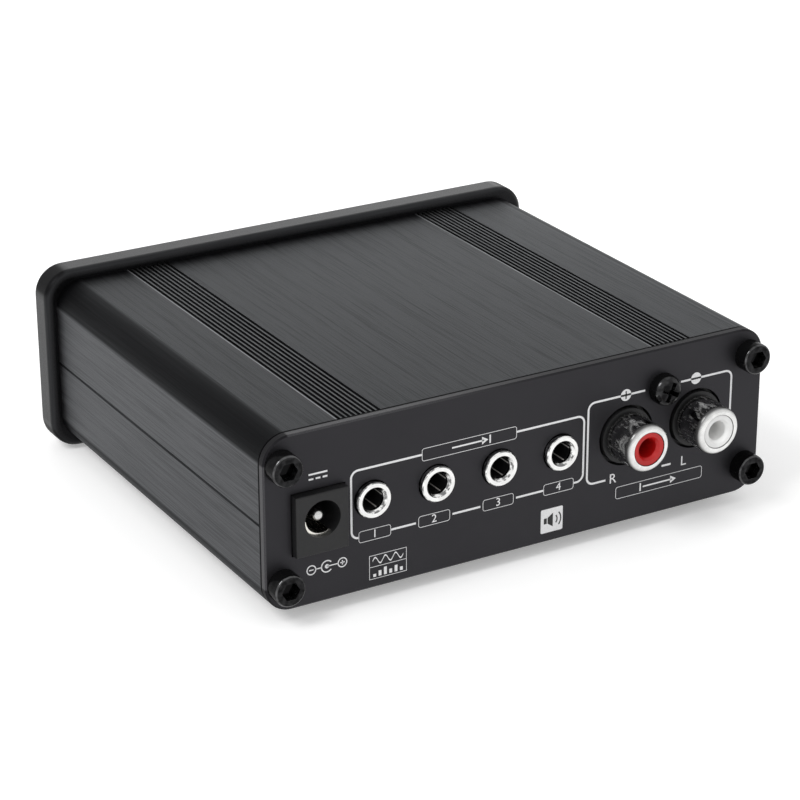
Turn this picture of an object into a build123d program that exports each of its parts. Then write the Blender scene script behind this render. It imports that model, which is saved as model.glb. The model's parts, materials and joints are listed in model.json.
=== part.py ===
from build123d import *
import os

# Line-level audio switch box. Millimetres, +Z up, +Y towards the sockets at the rear, +X to the right
# as seen from the front. The origin is on the floor, at the middle of the whole box with its controls.

# Case: two alike half extrusions, a plate at the rear and a thicker panel at the front
body_width = 92.0
body_height = 29.0
body_length = 74.5
corner_radius = 4.5
wall = 2.0
plate_thickness = 1.5
plate_edge = 0.25
plate_back_edge = 0.15
panel_thickness = 5.5
panel_overhang = 1.8
panel_corner = 5.0
panel_edge_front = 1.0
panel_edge_back = 1.3
floor_gap = 0.5
foot_radius = 4.0
foot_corner_gap = 0.5
foot_end_inset = 9.0
foot_edge = 0.5
least_round = 0.2

# Grooves along the case, and the joint of its two halves
groove_count = 9
groove_pitch = 0.86
groove_width = 0.56
groove_depth = 0.45
groove_group_x = 28.7
tongue_height = 1.0
seam_fit = 0.05
seam_bevel = 0.25

# Screws, in channels in the corners of the case
screw_radius = 1.45
thread_fit = 0.05
screw_hole_fit = 0.15
screw_head_radius = 2.6
screw_head_height = 2.8
screw_head_round = 0.45
screw_grip = 6.5
screw_edge_distance = 2.9
channel_side = 2.6
channel_roof = 0.83
hex_key = 2.7
hex_depth = 1.2
sunk_head_height = 1.6
sunk_key = 2.0
sunk_key_depth = 1.1
sunk_fit = 0.06

# Circuit board: it lies on the lower screw channels
board_thickness = 1.6
board_side_gap = 0.4
board_end_gap = 0.6
socket_axis_offset = 0.83
socket_rise = 6.8

# 3.5 mm sockets
jack_count = 4
jack_bore = 1.8
jack_ring_radius = 2.95
jack_ring_edge = 0.15
jack_reach = 1.0
jack_lead_in = 2.2
jack_lead_in_depth = 0.5
jack_lip = 0.9
jack_sleeve = 0.5
jack_hole_fit = 0.15
jack_width = 7.0
jack_above_axis = 3.6
jack_depth = 13.5
jack_back_wall = 1.0
jack_seat = 3.0
socket_fit = 0.05
contact_thickness = 0.3
contact_width = 0.9
contact_length = 4.5
contact_leg = 0.8
contact_start = 3.6
contact_stagger = 2.4

# Phono sockets
phono_pitch = 13.6
phono_reach = 6.5
phono_barrel_radius = 4.05
phono_barrel_wall = 0.8
phono_lip_radius = 2.9
phono_lip = 0.9
phono_lip_round = 0.9
phono_undercut = 0.35
phono_seat = 3.0
phono_shoulder = 0.3
phono_boss_radius = 4.7
phono_boss_reach = 0.3
phono_hole_gap = 0.5
phono_side = 5.6
phono_above_axis = 5.4
phono_depth = 10.0
phono_bore = 1.65
phono_mouth = 2.05
phono_mouth_depth = 0.5
phono_recess = 0.1
phono_contact_wall = 0.5
phono_leg = 0.8
phono_tab_half = 4.2
phono_tab_depth = 6.0
phono_tab_above = 2.4
phono_tab_gap = 2.5
pan_head_height = 2.5
pan_head_round = 1.4
cross_width = 0.8
cross_length = 3.4
cross_depth = 1.3
cross_turn = 25.0

# DC power socket
dc_width = 9.0
dc_height = 10.5
dc_reach = 1.4
dc_depth = 12.6
dc_rise = 6.15
dc_nose_rise = 0.45
dc_bore = 3.05
dc_bore_depth = 9.5
dc_pin = 1.05
dc_pin_recess = 1.0
dc_pin_round = 0.95
dc_pin_root = 1.3
dc_edge = 0.25
dc_cutout_fit = 0.2
dc_spring_thickness = 0.4
dc_spring_length = 6.0
dc_spring_recess = 0.7
dc_spring_drop = 1.4
dc_spring_turn = 28.0

# Rotary controls on the front
shaft_radius = 3.0
shaft_running = 0.05
shaft_flat = 0.7
bushing_radius = 3.5
bushing_hole_fit = 0.1
nut_flats = 9.0
nut_thickness = 2.0
nut_recess = 0.2
nut_fit = 0.05
nut_recess_gap = 0.6
rotor_step = 1.0
rotor_thickness = 1.2
rotor_gap = 0.4
rotor_front = 2.0
knob_gap = 0.6
knob_edge = 0.8
knob_hollow_depth = 1.2
knob_hollow_rim = 2.2
knob_fit = 0.03
knob_cap = 3.0
flute_radius = 0.5
flute_stop = 4.5
pointer_start = 3.2
pointer_width = 0.9
pointer_depth = 0.4
grub_recess = 0.8
grub_key = 1.5
grub_key_depth = 1.5

selector_width = 14.0
selector_depth = 12.0
selector_knob_radius = 8.0
selector_knob_height = 11.0
selector_flutes = 24
selector_rest_angle = -45.0

volume_width = 12.0
volume_depth = 9.0
volume_knob_radius = 10.5
volume_knob_height = 12.4
volume_flutes = 36
volume_rest_angle = 0.0

# Power button, light and front output
button_radius = 3.5
button_running = 0.1
button_reach = 2.6
button_edge = 0.5
button_flange = 0.8
button_flange_thickness = 1.0
button_stop_gap = 0.1
button_travel = 2.0
plunger_side = 2.8
plunger_running = 0.1
plunger_grip = 1.6
plunger_end_gap = 1.0
spring_length = 3.4
spring_wire = 0.17
spring_turns = 2.75
spring_end_gap = 0.04
switch_width = 8.0
switch_depth = 9.0
led_radius = 1.5
led_fit = 0.05
led_proud = 0.2
led_flange = 0.4
led_flange_thickness = 1.0
lead_side = 0.5
lead_spacing = 1.8
lead_back = 2.0
output_reach = 0.6

# Gaps along the rows of sockets and controls, from -X to +X. They share out, in these proportions, the width
# of the case that the pieces leave.
phono_side_gap = 7.4
phono_jack_gap = 3.625
jack_gap = 4.4
jack_dc_gap = 1.225
dc_side_gap = 4.75
power_side_gap = 5.2
power_led_gap = 2.3
led_output_gap = 3.1
output_selector_gap = 7.0
selector_volume_gap = 10.0
volume_side_gap = 8.0

# Parts on the board
relay_width = 6.2
relay_length = 10.0
relay_height = 5.6
relay_gap = 3.0
chip_width = 6.4
chip_length = 9.8
chip_height = 3.3
chip_stand = 0.5
chip_legs = 4
chip_leg_pitch = 2.54
chip_leg_width = 0.5
chip_leg_thickness = 0.3
chip_spacing = 14.0
chip_gap = 5.0
electrolytic_radius = 4.0
electrolytic_height = 11.0
electrolytic_neck = 0.4
electrolytic_spacing = 10.5
electrolytic_count = 3
electrolytic_gap = 5.0
film_width = 7.2
film_thickness = 2.6
film_height = 7.0
film_pitch = 5.0
film_count = 4
film_gap = 4.0
regulator_width = 8.0
regulator_thickness = 2.8
regulator_height = 9.0
regulator_stand = 2.0
regulator_hole = 1.6
regulator_hole_drop = 3.0
regulator_leg = 0.8
regulator_leg_pitch = 2.3
regulator_gap = 4.0

# Sizes of fits, worked out from the sizes above
phono_neck = phono_barrel_radius - phono_shoulder
screw_hole = screw_radius + thread_fit
screw_clearance = screw_radius + screw_hole_fit
nut_corner = nut_flats / 3**0.5
nut_recess_radius = nut_corner + nut_recess_gap
nut_recess_depth = nut_thickness + nut_recess
rotor_radius = shaft_radius + rotor_step

# Heights, from the floor up
foot_height = panel_overhang + floor_gap
z_bottom = foot_height
z_mid = z_bottom + body_height / 2
z_top = z_bottom + body_height
socket_axis = z_mid + socket_axis_offset
board_top = socket_axis - socket_rise
board_bottom = board_top - board_thickness
screw_low = board_bottom - channel_roof - screw_hole
screw_high = 2 * z_mid - screw_low
control_axis = z_mid
phono_screw_z = z_top - wall - phono_tab_gap - phono_tab_above
dc_axis = board_top + dc_rise

# Depths, from the front of the knobs to the ends of the phono barrels
front_reach = knob_gap + max(selector_knob_height, volume_knob_height)
overall_depth = front_reach + panel_thickness + body_length + plate_thickness + phono_reach
y_rear = overall_depth / 2 - phono_reach
y_case_rear = y_rear - plate_thickness
y_case_front = y_case_rear - body_length
y_front = y_case_front - panel_thickness


def row_places(widths, gaps):
    """Middles of the pieces in a row across the case, between gaps that share out what their widths leave."""
    share = (body_width - sum(widths)) / sum(gaps)
    places = []
    edge = -body_width / 2
    for gap, width in zip(gaps, widths):
        places.append(edge + gap * share + width / 2)
        edge += gap * share + width
    return places


# Places along X
inner_half = body_width / 2 - wall
screw_x = body_width / 2 - screw_edge_distance
screw_places = [(x, z) for x in (screw_x, -screw_x) for z in (screw_low, screw_high)]
channel_in = screw_x - channel_side
board_half = inner_half - board_side_gap

phono_half = phono_pitch / 2 + phono_side
phono_x, *jack_row, dc_x = row_places(
    [2 * phono_half, *[jack_width] * jack_count, dc_width],
    [phono_side_gap, phono_jack_gap, *[jack_gap] * (jack_count - 1), jack_dc_gap, dc_side_gap],
)
jack_places = jack_row[::-1]
jacks_x = sum(jack_places) / jack_count
phono_places = {"right": phono_x + phono_pitch / 2, "left": phono_x - phono_pitch / 2}

power_x, led_x, output_x, selector_x, volume_x = row_places(
    [
        2 * (button_radius + button_flange),
        2 * (led_radius + led_flange),
        jack_width,
        2 * selector_knob_radius,
        2 * volume_knob_radius,
    ],
    [
        power_side_gap,
        power_led_gap,
        led_output_gap,
        output_selector_gap,
        selector_volume_gap,
        volume_side_gap,
    ],
)

parts = {}
near = 0.001
from_end = (Align.CENTER, Align.CENTER, Align.MIN)


# Shape helpers


def rod(radius, y0, y1, x=0.0, z=0.0):
    """Round bar along Y between two depths."""
    return Pos(x, (y0 + y1) / 2, z) * Rot(90, 0, 0) * Cylinder(radius, abs(y1 - y0))


def block(x0, x1, y0, y1, z0, z1):
    """Rectangular block between two corners."""
    centre = Pos((x0 + x1) / 2, (y0 + y1) / 2, (z0 + z1) / 2)
    return centre * Box(x1 - x0, y1 - y0, z1 - z0)


def prism(sketch, y0, y1):
    """A sketch drawn in X and Z, carried along Y from y0 to y1."""
    return extrude(Plane.XZ.offset(-y1) * sketch, amount=y1 - y0)


def turned(points, x=0.0, z=0.0):
    """Outline of (radius, y) points, turned about an axis along Y."""
    outline = make_face(Polyline(*points, close=True))
    return Pos(x, 0, z) * revolve(outline, axis=Axis.Y)


def rim_edges(part, y):
    """Edges of a part that lie at one depth."""
    return part.edges().filter_by_position(Axis.Y, y - near, y + near)


def hexagon(flats):
    """Hexagon by its width across flats."""
    return RegularPolygon(flats / 2, 6, major_radius=False)


def at_rear(part, x):
    """From a socket's own place, with its panel face at y = 0, to the rear plate."""
    return Pos(x, y_rear, 0) * part


def at_front(part, x):
    """The same for the front panel, turned to face forwards."""
    return Pos(x, y_front, 0) * Rot(0, 0, 180) * part


def group(solids):
    """Several separate solids in one piece list."""
    return Compound(children=list(solids))


# Case


def shell_half():
    """Lower half of the case: a channel with screw bosses, a tongue on one side and a rebate on the other."""
    outer = Pos(0, z_mid) * RectangleRounded(body_width, body_height, corner_radius)
    inner_corner = max(corner_radius - wall, least_round)
    inner = Pos(0, z_mid) * RectangleRounded(2 * inner_half, body_height - 2 * wall, inner_corner)
    bosses = Sketch()
    for side in (-1, 1):
        width = body_width / 2 - channel_in
        boss = Pos(side * (channel_in + width / 2), (z_bottom + board_bottom) / 2)
        bosses += boss * Rectangle(width, board_bottom - z_bottom)
    section = (outer - inner) + (outer & bosses)
    section -= Pos(0, z_mid + body_height / 2) * Rectangle(2 * body_width, body_height)

    half_wall = wall / 2
    tongue = half_wall - seam_fit
    section += Pos(inner_half + tongue / 2, z_mid + tongue_height / 2 - seam_fit) * Rectangle(
        tongue, tongue_height + 2 * seam_fit
    )
    rebate = tongue_height + 2 * seam_fit
    section -= Pos(-inner_half - half_wall / 2, z_mid - rebate / 2) * Rectangle(half_wall, rebate)
    for side in (-1, 1):
        edge = side * body_width / 2
        bevel = Polygon(
            (edge - side * seam_bevel, z_mid),
            (edge + side * seam_bevel, z_mid),
            (edge + side * seam_bevel, z_mid - 2 * seam_bevel),
            align=None,
        )
        section -= bevel
        section -= Pos(side * screw_x, screw_low) * Circle(screw_hole)
        for i in range(groove_count):
            x = side * groove_group_x + (i - (groove_count - 1) / 2) * groove_pitch
            section -= Pos(x, z_bottom) * Rectangle(groove_width, 2 * groove_depth)
    return prism(section, y_case_front, y_case_rear)


def rear_plate():
    """Plate that closes the rear, with a hole for each socket."""
    face = Pos(0, z_mid) * RectangleRounded(body_width, body_height, corner_radius)
    plate = prism(face, y_case_rear, y_rear)
    plate = chamfer(rim_edges(plate, y_rear), plate_edge)
    plate = chamfer(rim_edges(plate, y_case_rear), plate_back_edge)
    holes = [(x, z, screw_clearance) for x, z in screw_places]
    holes += [(x, socket_axis, jack_ring_radius + jack_hole_fit) for x in jack_places]
    holes += [(x, socket_axis, phono_boss_radius + phono_hole_gap) for x in phono_places.values()]
    holes.append((phono_x, phono_screw_z, screw_clearance))
    for x, z, radius in holes:
        plate -= rod(radius, y_case_rear, y_rear, x, z)
    return plate - block(
        dc_x - dc_width / 2 - dc_cutout_fit,
        dc_x + dc_width / 2 + dc_cutout_fit,
        y_case_rear,
        y_rear,
        board_top + dc_nose_rise - dc_cutout_fit,
        board_top + dc_height + dc_cutout_fit,
    )


def front_panel():
    """Thick panel that overhangs the case, with holes for the controls."""
    face = RectangleRounded(body_width + 2 * panel_overhang, body_height + 2 * panel_overhang, panel_corner)
    panel = prism(Pos(0, z_mid) * face, y_front, y_case_front)
    panel = fillet(rim_edges(panel, y_front), panel_edge_front)
    panel = fillet(rim_edges(panel, y_case_front), panel_edge_back)
    for x, z in screw_places:
        panel -= Pos(x, y_front, 0) * Rot(0, 0, 180) * sunk_screw_hole(z)
    for x in (selector_x, volume_x):
        panel -= rod(bushing_radius + bushing_hole_fit, y_front, y_case_front, x, control_axis)
        panel -= rod(nut_recess_radius, y_front, y_front + nut_recess_depth, x, control_axis)
    panel -= rod(button_radius + button_running, y_front, y_case_front, power_x, control_axis)
    panel -= rod(led_radius + led_fit, y_front, y_case_front, led_x, control_axis)
    panel -= rod(jack_ring_radius + jack_hole_fit, y_front, y_case_front, output_x, control_axis)
    return panel


def foot(x, y):
    """Stick-on rubber foot, its lower edge rounded."""
    pad = Pos(x, y, foot_height / 2) * Cylinder(foot_radius, foot_height)
    return fillet(pad.edges().sort_by(Axis.Z)[:1], foot_edge)


def make_case():
    lower = shell_half()
    parts["lower_shell"] = lower
    parts["upper_shell"] = lower.rotate(Axis((0, 0, z_mid), (0, 1, 0)), 180)
    parts["rear_plate"] = rear_plate()
    parts["front_panel"] = front_panel()
    foot_x = body_width / 2 - corner_radius - foot_corner_gap - foot_radius
    foot_ends = (y_case_front + foot_end_inset, y_case_rear - foot_end_inset)
    parts["rubber_feet"] = group(foot(x, y) for x in (-foot_x, foot_x) for y in foot_ends)
    board_ends = (y_case_front + board_end_gap, y_case_rear - board_end_gap)
    parts["main_board"] = block(-board_half, board_half, *board_ends, board_bottom, board_top)


# Screws, each drawn with its panel face at y = 0


def cap_screw(z):
    """Socket-head cap screw."""
    screw = rod(screw_head_radius, 0, screw_head_height, z=z)
    screw = fillet(rim_edges(screw, screw_head_height), screw_head_round)
    screw += rod(screw_radius, -plate_thickness - screw_grip, 0, z=z)
    return screw - prism(Pos(0, z) * hexagon(hex_key), screw_head_height - hex_depth, screw_head_height)


def sunk_screw(z):
    """Countersunk screw, flush with the front panel."""
    end = -panel_thickness - screw_grip
    profile = [
        (0, end),
        (screw_radius, end),
        (screw_radius, -sunk_head_height),
        (screw_head_radius, 0),
        (0, 0),
    ]
    return turned(profile, z=z) - prism(Pos(0, z) * hexagon(sunk_key), -sunk_key_depth, 0)


def sunk_screw_hole(z):
    """What the front panel loses for one countersunk screw."""
    profile = [
        (0, -panel_thickness),
        (screw_clearance, -panel_thickness),
        (screw_clearance, -sunk_head_height),
        (screw_head_radius + sunk_fit, 0),
        (0, 0),
    ]
    return turned(profile, z=z)


def pan_screw():
    """Cross-head pan screw that holds the phono block."""
    screw = rod(screw_head_radius, 0, pan_head_height, z=phono_screw_z)
    screw = fillet(rim_edges(screw, pan_head_height), pan_head_round)
    screw += rod(screw_radius, -plate_thickness - phono_tab_depth, 0, z=phono_screw_z)
    for width, height in ((cross_width, cross_length), (cross_length, cross_width)):
        slot = Pos(0, phono_screw_z) * Rot(0, 0, cross_turn) * Rectangle(width, height)
        screw -= prism(slot, pan_head_height - cross_depth, pan_head_height)
    return screw


def make_screws():
    parts["rear_plate_screws"] = group(at_rear(cap_screw(z), x) for x, z in screw_places)
    parts["front_panel_screws"] = group(at_front(sunk_screw(z), x) for x, z in screw_places)
    parts["phono_screw"] = at_rear(pan_screw(), phono_x)


# 3.5 mm sockets, each drawn with its panel face at y = 0


def jack_bushing(panel, reach, axis):
    """Metal bushing: a ring outside the panel, with a tapered mouth and a lip over the housing's sleeve."""
    sleeve = jack_bore + jack_sleeve + socket_fit
    profile = [
        (sleeve, -panel - jack_seat),
        (jack_ring_radius, -panel - jack_seat),
        (jack_ring_radius, reach - jack_ring_edge),
        (jack_ring_radius - jack_ring_edge, reach),
        (jack_lead_in, reach),
        (jack_bore, reach - jack_lead_in_depth),
        (jack_bore, reach - jack_lip),
        (sleeve, reach - jack_lip),
    ]
    return turned(profile, z=axis)


def jack_contact(panel, axis, side, start, gap=0.0):
    """Leaf spring beside the bore and its leg to the board, or with a gap the slot, open to the bore."""
    x0 = jack_bore + socket_fit - gap
    x1 = jack_bore + socket_fit + contact_thickness + gap
    y1 = -panel - start + gap
    y0 = -panel - start - contact_length - gap
    half = contact_width / 2 + gap
    leaf = block(0 if gap else x0, x1, y0, y1, axis - half, axis + half)
    leg = block(x0, x1, y0, y0 + contact_leg + 2 * gap, board_top, axis)
    contact = leaf + leg
    return contact if side > 0 else mirror(contact, Plane.YZ)


def jack_contact_places():
    return ((1, contact_start), (-1, contact_start + contact_stagger))


def jack_housing(panel, reach, axis):
    """Plastic housing behind the panel, standing on the board, with a sleeve inside the bushing."""
    half = jack_width / 2
    back = -panel - jack_depth
    housing = block(-half, half, back, -panel, board_top, axis + jack_above_axis)
    housing -= rod(jack_ring_radius + socket_fit, -panel - jack_seat, -panel, z=axis)
    housing += rod(jack_bore + jack_sleeve, -panel - jack_seat, reach - jack_lip, z=axis)
    housing -= rod(jack_bore, back + jack_back_wall, reach - jack_lip, z=axis)
    for side, start in jack_contact_places():
        housing -= jack_contact(panel, axis, side, start, gap=socket_fit)
    return housing


def jack_contacts(panel, axis):
    return group(jack_contact(panel, axis, side, start) for side, start in jack_contact_places())


def make_jack(name, place, x, panel, reach, axis):
    parts[f"{name}_housing"] = place(jack_housing(panel, reach, axis), x)
    parts[f"{name}_bushing"] = place(jack_bushing(panel, reach, axis), x)
    parts[f"{name}_contacts"] = place(jack_contacts(panel, axis), x)


def make_jacks():
    for number, x in enumerate(jack_places, 1):
        make_jack(f"input_socket_{number}", at_rear, x, plate_thickness, jack_reach, socket_axis)
    make_jack("output_socket", at_front, output_x, panel_thickness, output_reach, control_axis)


# Phono sockets, drawn with the plate's face at y = 0


def phono_housing():
    """Twin block behind the plate, with a boss through it for each barrel and a tab for the screw."""
    back = -plate_thickness - phono_depth
    top = socket_axis + phono_above_axis
    housing = block(-phono_half, phono_half, back, -plate_thickness, board_top, top)
    housing += block(
        -phono_tab_half,
        phono_tab_half,
        -plate_thickness - phono_tab_depth,
        -plate_thickness,
        socket_axis,
        phono_screw_z + phono_tab_above,
    )
    seat = -plate_thickness - phono_seat
    contact = phono_bore + phono_contact_wall + socket_fit
    for x in (-phono_pitch / 2, phono_pitch / 2):
        housing += rod(phono_boss_radius, -plate_thickness, phono_boss_reach, x, socket_axis)
        housing -= rod(phono_neck + socket_fit, seat, phono_boss_reach, x, socket_axis)
        housing -= rod(contact, back, seat, x, socket_axis)
    housing -= rod(screw_hole, back, -plate_thickness, 0, phono_screw_z)
    return housing


def phono_barrel():
    """Metal barrel on a neck, with a rolled front lip."""
    seat = -plate_thickness - phono_seat
    inner = phono_barrel_radius - phono_barrel_wall
    shoulder = phono_boss_reach + phono_undercut
    profile = [
        (inner, seat),
        (phono_neck, seat),
        (phono_neck, shoulder),
        (phono_barrel_radius, shoulder),
        (phono_barrel_radius, phono_reach),
        (phono_lip_radius, phono_reach),
        (phono_lip_radius, phono_reach - phono_lip),
        (inner, phono_reach - phono_lip),
    ]
    barrel = turned(profile, z=socket_axis)
    rim = rim_edges(barrel, phono_reach).sort_by(SortBy.RADIUS)[-1:]
    return fillet(rim, phono_lip_round)


def phono_insulator():
    """Coloured insulator that fills the barrel, with a tapered mouth to its bore."""
    seat = -plate_thickness - phono_seat
    face = phono_reach - phono_recess
    shoulder = phono_reach - phono_lip
    outer = phono_barrel_radius - phono_barrel_wall - socket_fit
    nose = phono_lip_radius - socket_fit
    profile = [
        (phono_bore, seat),
        (outer, seat),
        (outer, shoulder),
        (nose, shoulder),
        (nose, face),
        (phono_mouth, face),
        (phono_bore, face - phono_mouth_depth),
    ]
    return turned(profile, z=socket_axis)


def phono_contact():
    """Tube that grips the plug's pin, closed at the back by its leg to the board."""
    seat = -plate_thickness - phono_seat
    back = -plate_thickness - phono_depth
    outer = phono_bore + phono_contact_wall
    tube = rod(outer, back, seat, z=socket_axis) - rod(phono_bore, back, seat, z=socket_axis)
    return tube + block(-outer, outer, back - phono_leg, back, board_top, socket_axis + outer)


def make_phonos():
    parts["phono_housing"] = at_rear(phono_housing(), phono_x)
    for side, x in phono_places.items():
        parts[f"phono_barrel_{side}"] = at_rear(phono_barrel(), x)
        parts[f"phono_insulator_{side}"] = at_rear(phono_insulator(), x)
        parts[f"phono_contact_{side}"] = at_rear(phono_contact(), x)


# DC socket, drawn with the plate's face at y = 0


def dc_spring_leaf(gap=0.0):
    """Side contact: a curved leaf in the lower part of the bore, and its leg to the board."""
    outer = dc_bore - socket_fit
    inner = outer - dc_spring_thickness
    lower = Pos(0, -dc_spring_drop - dc_bore) * Rectangle(4 * dc_bore, 2 * dc_bore)
    leaf = Rot(0, 0, dc_spring_turn) * ((Circle(outer + gap) - Circle(inner - gap)) & lower)
    y1 = dc_reach - dc_spring_recess + gap
    y0 = dc_reach - dc_spring_recess - dc_spring_length - gap
    half = contact_width / 2 + gap
    spring = prism(Pos(0, dc_axis) * leaf, y0, y1)
    foot_of_leaf = dc_axis - (inner + outer) / 2
    return spring + block(-half, half, y0, y0 + contact_leg + 2 * gap, board_top, foot_of_leaf)


def dc_housing():
    """Plastic housing that stands on the board, with a nose through the plate."""
    half = dc_width / 2
    top = board_top + dc_height
    housing = block(-half, half, -dc_depth, -plate_thickness, board_top, top)
    housing += block(-half, half, -plate_thickness, dc_reach, board_top + dc_nose_rise, top)
    housing = fillet(rim_edges(housing, dc_reach), dc_edge)
    housing -= rod(dc_bore, dc_reach - dc_bore_depth, dc_reach, z=dc_axis)
    housing -= rod(dc_pin_root + socket_fit, -dc_depth, dc_reach, z=dc_axis)
    return housing - dc_spring_leaf(gap=socket_fit)


def dc_centre_pin():
    """Centre pin with a rounded tip, and its leg down the back of the housing."""
    tip = dc_reach - dc_pin_recess
    bottom = dc_reach - dc_bore_depth
    pin = rod(dc_pin, bottom, tip, z=dc_axis)
    pin = fillet(rim_edges(pin, tip), dc_pin_round)
    pin += rod(dc_pin_root, -dc_depth, bottom, z=dc_axis)
    leg = block(-dc_pin, dc_pin, -dc_depth - contact_leg, -dc_depth, board_top, dc_axis + dc_pin)
    return pin + leg


def make_dc_socket():
    parts["dc_socket_housing"] = at_rear(dc_housing(), dc_x)
    parts["dc_socket_pin"] = at_rear(dc_centre_pin(), dc_x)
    parts["dc_socket_spring"] = at_rear(dc_spring_leaf(), dc_x)


# Rotary controls, drawn with the panel's front at y = 0 and outwards as +Y


def control_body(width, depth):
    """Body of a rotary switch or potentiometer, hollow round its rotor."""
    half = width / 2
    back = -panel_thickness - depth
    body = block(-half, half, back, -panel_thickness, board_top, control_axis + half)
    front = -panel_thickness - rotor_front
    body -= rod(shaft_radius + shaft_running, front, -panel_thickness, z=control_axis)
    hollow = rotor_thickness + 2 * rotor_gap
    return body - rod(rotor_radius + rotor_gap, front - hollow, front, z=control_axis)


def control_bushing():
    """Threaded bushing through the panel, in which the shaft runs."""
    bushing = rod(bushing_radius, -panel_thickness, -nut_recess, z=control_axis)
    return bushing - rod(shaft_radius + shaft_running, -panel_thickness, -nut_recess, z=control_axis)


def control_nut():
    """Nut on the bushing, in the panel's recess."""
    nut = prism(Pos(0, control_axis) * hexagon(nut_flats), -nut_recess_depth, -nut_recess)
    return nut - rod(bushing_radius + nut_fit, -nut_recess_depth, -nut_recess, z=control_axis)


def shaft_section(radius, flat):
    """Round section with one flat, on its lower side."""
    return Circle(radius) - Pos(0, -radius) * Rectangle(2 * radius, 2 * flat)


def control_shaft(knob_height, angle):
    """Shaft with its rotor inside the body and a flat under the knob."""
    rotor = -panel_thickness - rotor_front - rotor_gap
    end = knob_gap + knob_height - knob_cap
    shaft = rod(rotor_radius, rotor - rotor_thickness, rotor)
    shaft += rod(shaft_radius, rotor, 0)
    shaft += prism(shaft_section(shaft_radius, shaft_flat), 0, end)
    return Pos(0, 0, control_axis) * Rot(0, -angle, 0) * shaft


def control_knob(radius, knob_height, flutes, angle):
    """Fluted knob with a pointer line, hollow at the back and bored for the shaft and its grub screw."""
    front = knob_gap + knob_height
    knob = rod(radius, knob_gap, front)
    knob = chamfer(rim_edges(knob, front), knob_edge)
    flute = Pos(0, 0, radius) * rod(flute_radius, knob_gap, front - flute_stop)
    knob -= [Rot(0, i * 360 / flutes, 0) * flute for i in range(flutes)]
    knob -= rod(radius - knob_hollow_rim, knob_gap, knob_gap + knob_hollow_depth)
    bore = shaft_section(shaft_radius + knob_fit, shaft_flat)
    knob -= prism(bore, knob_gap, front - knob_cap + knob_fit)
    line = block(-pointer_width / 2, pointer_width / 2, front - pointer_depth, front, pointer_start, radius)
    knob -= line
    knob -= grub_axis(knob_height) * Cylinder(screw_hole, radius, align=from_end)
    return Pos(0, 0, control_axis) * Rot(0, -angle, 0) * knob


def grub_axis(knob_height):
    """Place of the grub screw: on the shaft's axis, pointing down through the flat."""
    return Pos(0, knob_gap + knob_hollow_depth + (knob_height - knob_cap) / 2, 0) * Rot(180, 0, 0)


def grub_screw(radius, knob_height, angle):
    """Grub screw from the shaft's flat to just inside the knob's side."""
    start = shaft_radius - shaft_flat + knob_fit
    length = radius - grub_recess - start
    grub = Pos(0, 0, start) * Cylinder(screw_radius, length, align=from_end)
    key = Pos(0, 0, start + length - grub_key_depth) * extrude(hexagon(grub_key), amount=grub_key_depth)
    return Pos(0, 0, control_axis) * Rot(0, -angle, 0) * grub_axis(knob_height) * (grub - key)


def make_control(name, body_name, x, width, depth, radius, knob_height, flutes, angle):
    parts[body_name] = at_front(control_body(width, depth), x)
    parts[f"{name}_bushing"] = at_front(control_bushing(), x)
    parts[f"{name}_nut"] = at_front(control_nut(), x)
    parts[f"{name}_shaft"] = at_front(control_shaft(knob_height, angle), x)
    parts[f"{name}_knob"] = at_front(control_knob(radius, knob_height, flutes, angle), x)
    parts[f"{name}_grub_screw"] = at_front(grub_screw(radius, knob_height, angle), x)


def make_controls():
    make_control(
        "selector",
        "selector_switch_body",
        selector_x,
        selector_width,
        selector_depth,
        selector_knob_radius,
        selector_knob_height,
        selector_flutes,
        selector_rest_angle,
    )
    make_control(
        "volume",
        "volume_pot_body",
        volume_x,
        volume_width,
        volume_depth,
        volume_knob_radius,
        volume_knob_height,
        volume_flutes,
        volume_rest_angle,
    )


# Power button, its switch and the light, drawn like the rotary controls


flange_front = -panel_thickness - button_stop_gap
flange_back = flange_front - button_flange_thickness
switch_front = flange_back - spring_length


def power_button():
    """Round button, kept in by a flange behind the panel."""
    button = rod(button_radius, flange_front, button_reach, z=control_axis)
    button = fillet(rim_edges(button, button_reach), button_edge)
    return button + rod(button_radius + button_flange, flange_back, flange_front, z=control_axis)


def power_plunger():
    """Square plunger from the button into the switch."""
    half = plunger_side / 2
    end = switch_front - plunger_grip
    return block(-half, half, end, flange_back, control_axis - half, control_axis + half)


def power_switch():
    """Switch body, with room for the plunger's travel."""
    half = switch_width / 2
    body = block(-half, half, switch_front - switch_depth, switch_front, board_top, control_axis + half)
    hole = plunger_side / 2 + plunger_running
    depth = plunger_grip + button_travel + plunger_end_gap
    return body - block(
        -hole, hole, switch_front - depth, switch_front, control_axis - hole, control_axis + hole
    )


def power_spring():
    """Return spring round the plunger, between the button's flange and the switch."""
    ends = spring_wire + spring_end_gap
    height = spring_length - 2 * ends
    clear = plunger_side / 2**0.5 + plunger_running + spring_wire
    path = Helix(height / spring_turns, height, clear)
    wire = Plane(path @ 0, z_dir=path % 0) * Circle(spring_wire)
    coil = sweep(wire, path=path, is_frenet=True)
    return Pos(0, switch_front + ends, control_axis) * Rot(-90, 0, 0) * coil


def power_led():
    """Round light in the panel, held by a flange behind it."""
    lens = rod(led_radius, -panel_thickness, led_proud, z=control_axis)
    lens += Pos(0, led_proud, control_axis) * Sphere(led_radius)
    flange = -panel_thickness - led_flange_thickness
    return lens + rod(led_radius + led_flange, flange, -panel_thickness, z=control_axis)


def power_led_lead(x):
    """Wire from the light, bent down to the board."""
    half = lead_side / 2
    back = -panel_thickness - led_flange_thickness
    end = back - lead_back
    along = block(x - half, x + half, end, back, control_axis - half, control_axis + half)
    return along + block(x - half, x + half, end, end + lead_side, board_top, control_axis)


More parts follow.
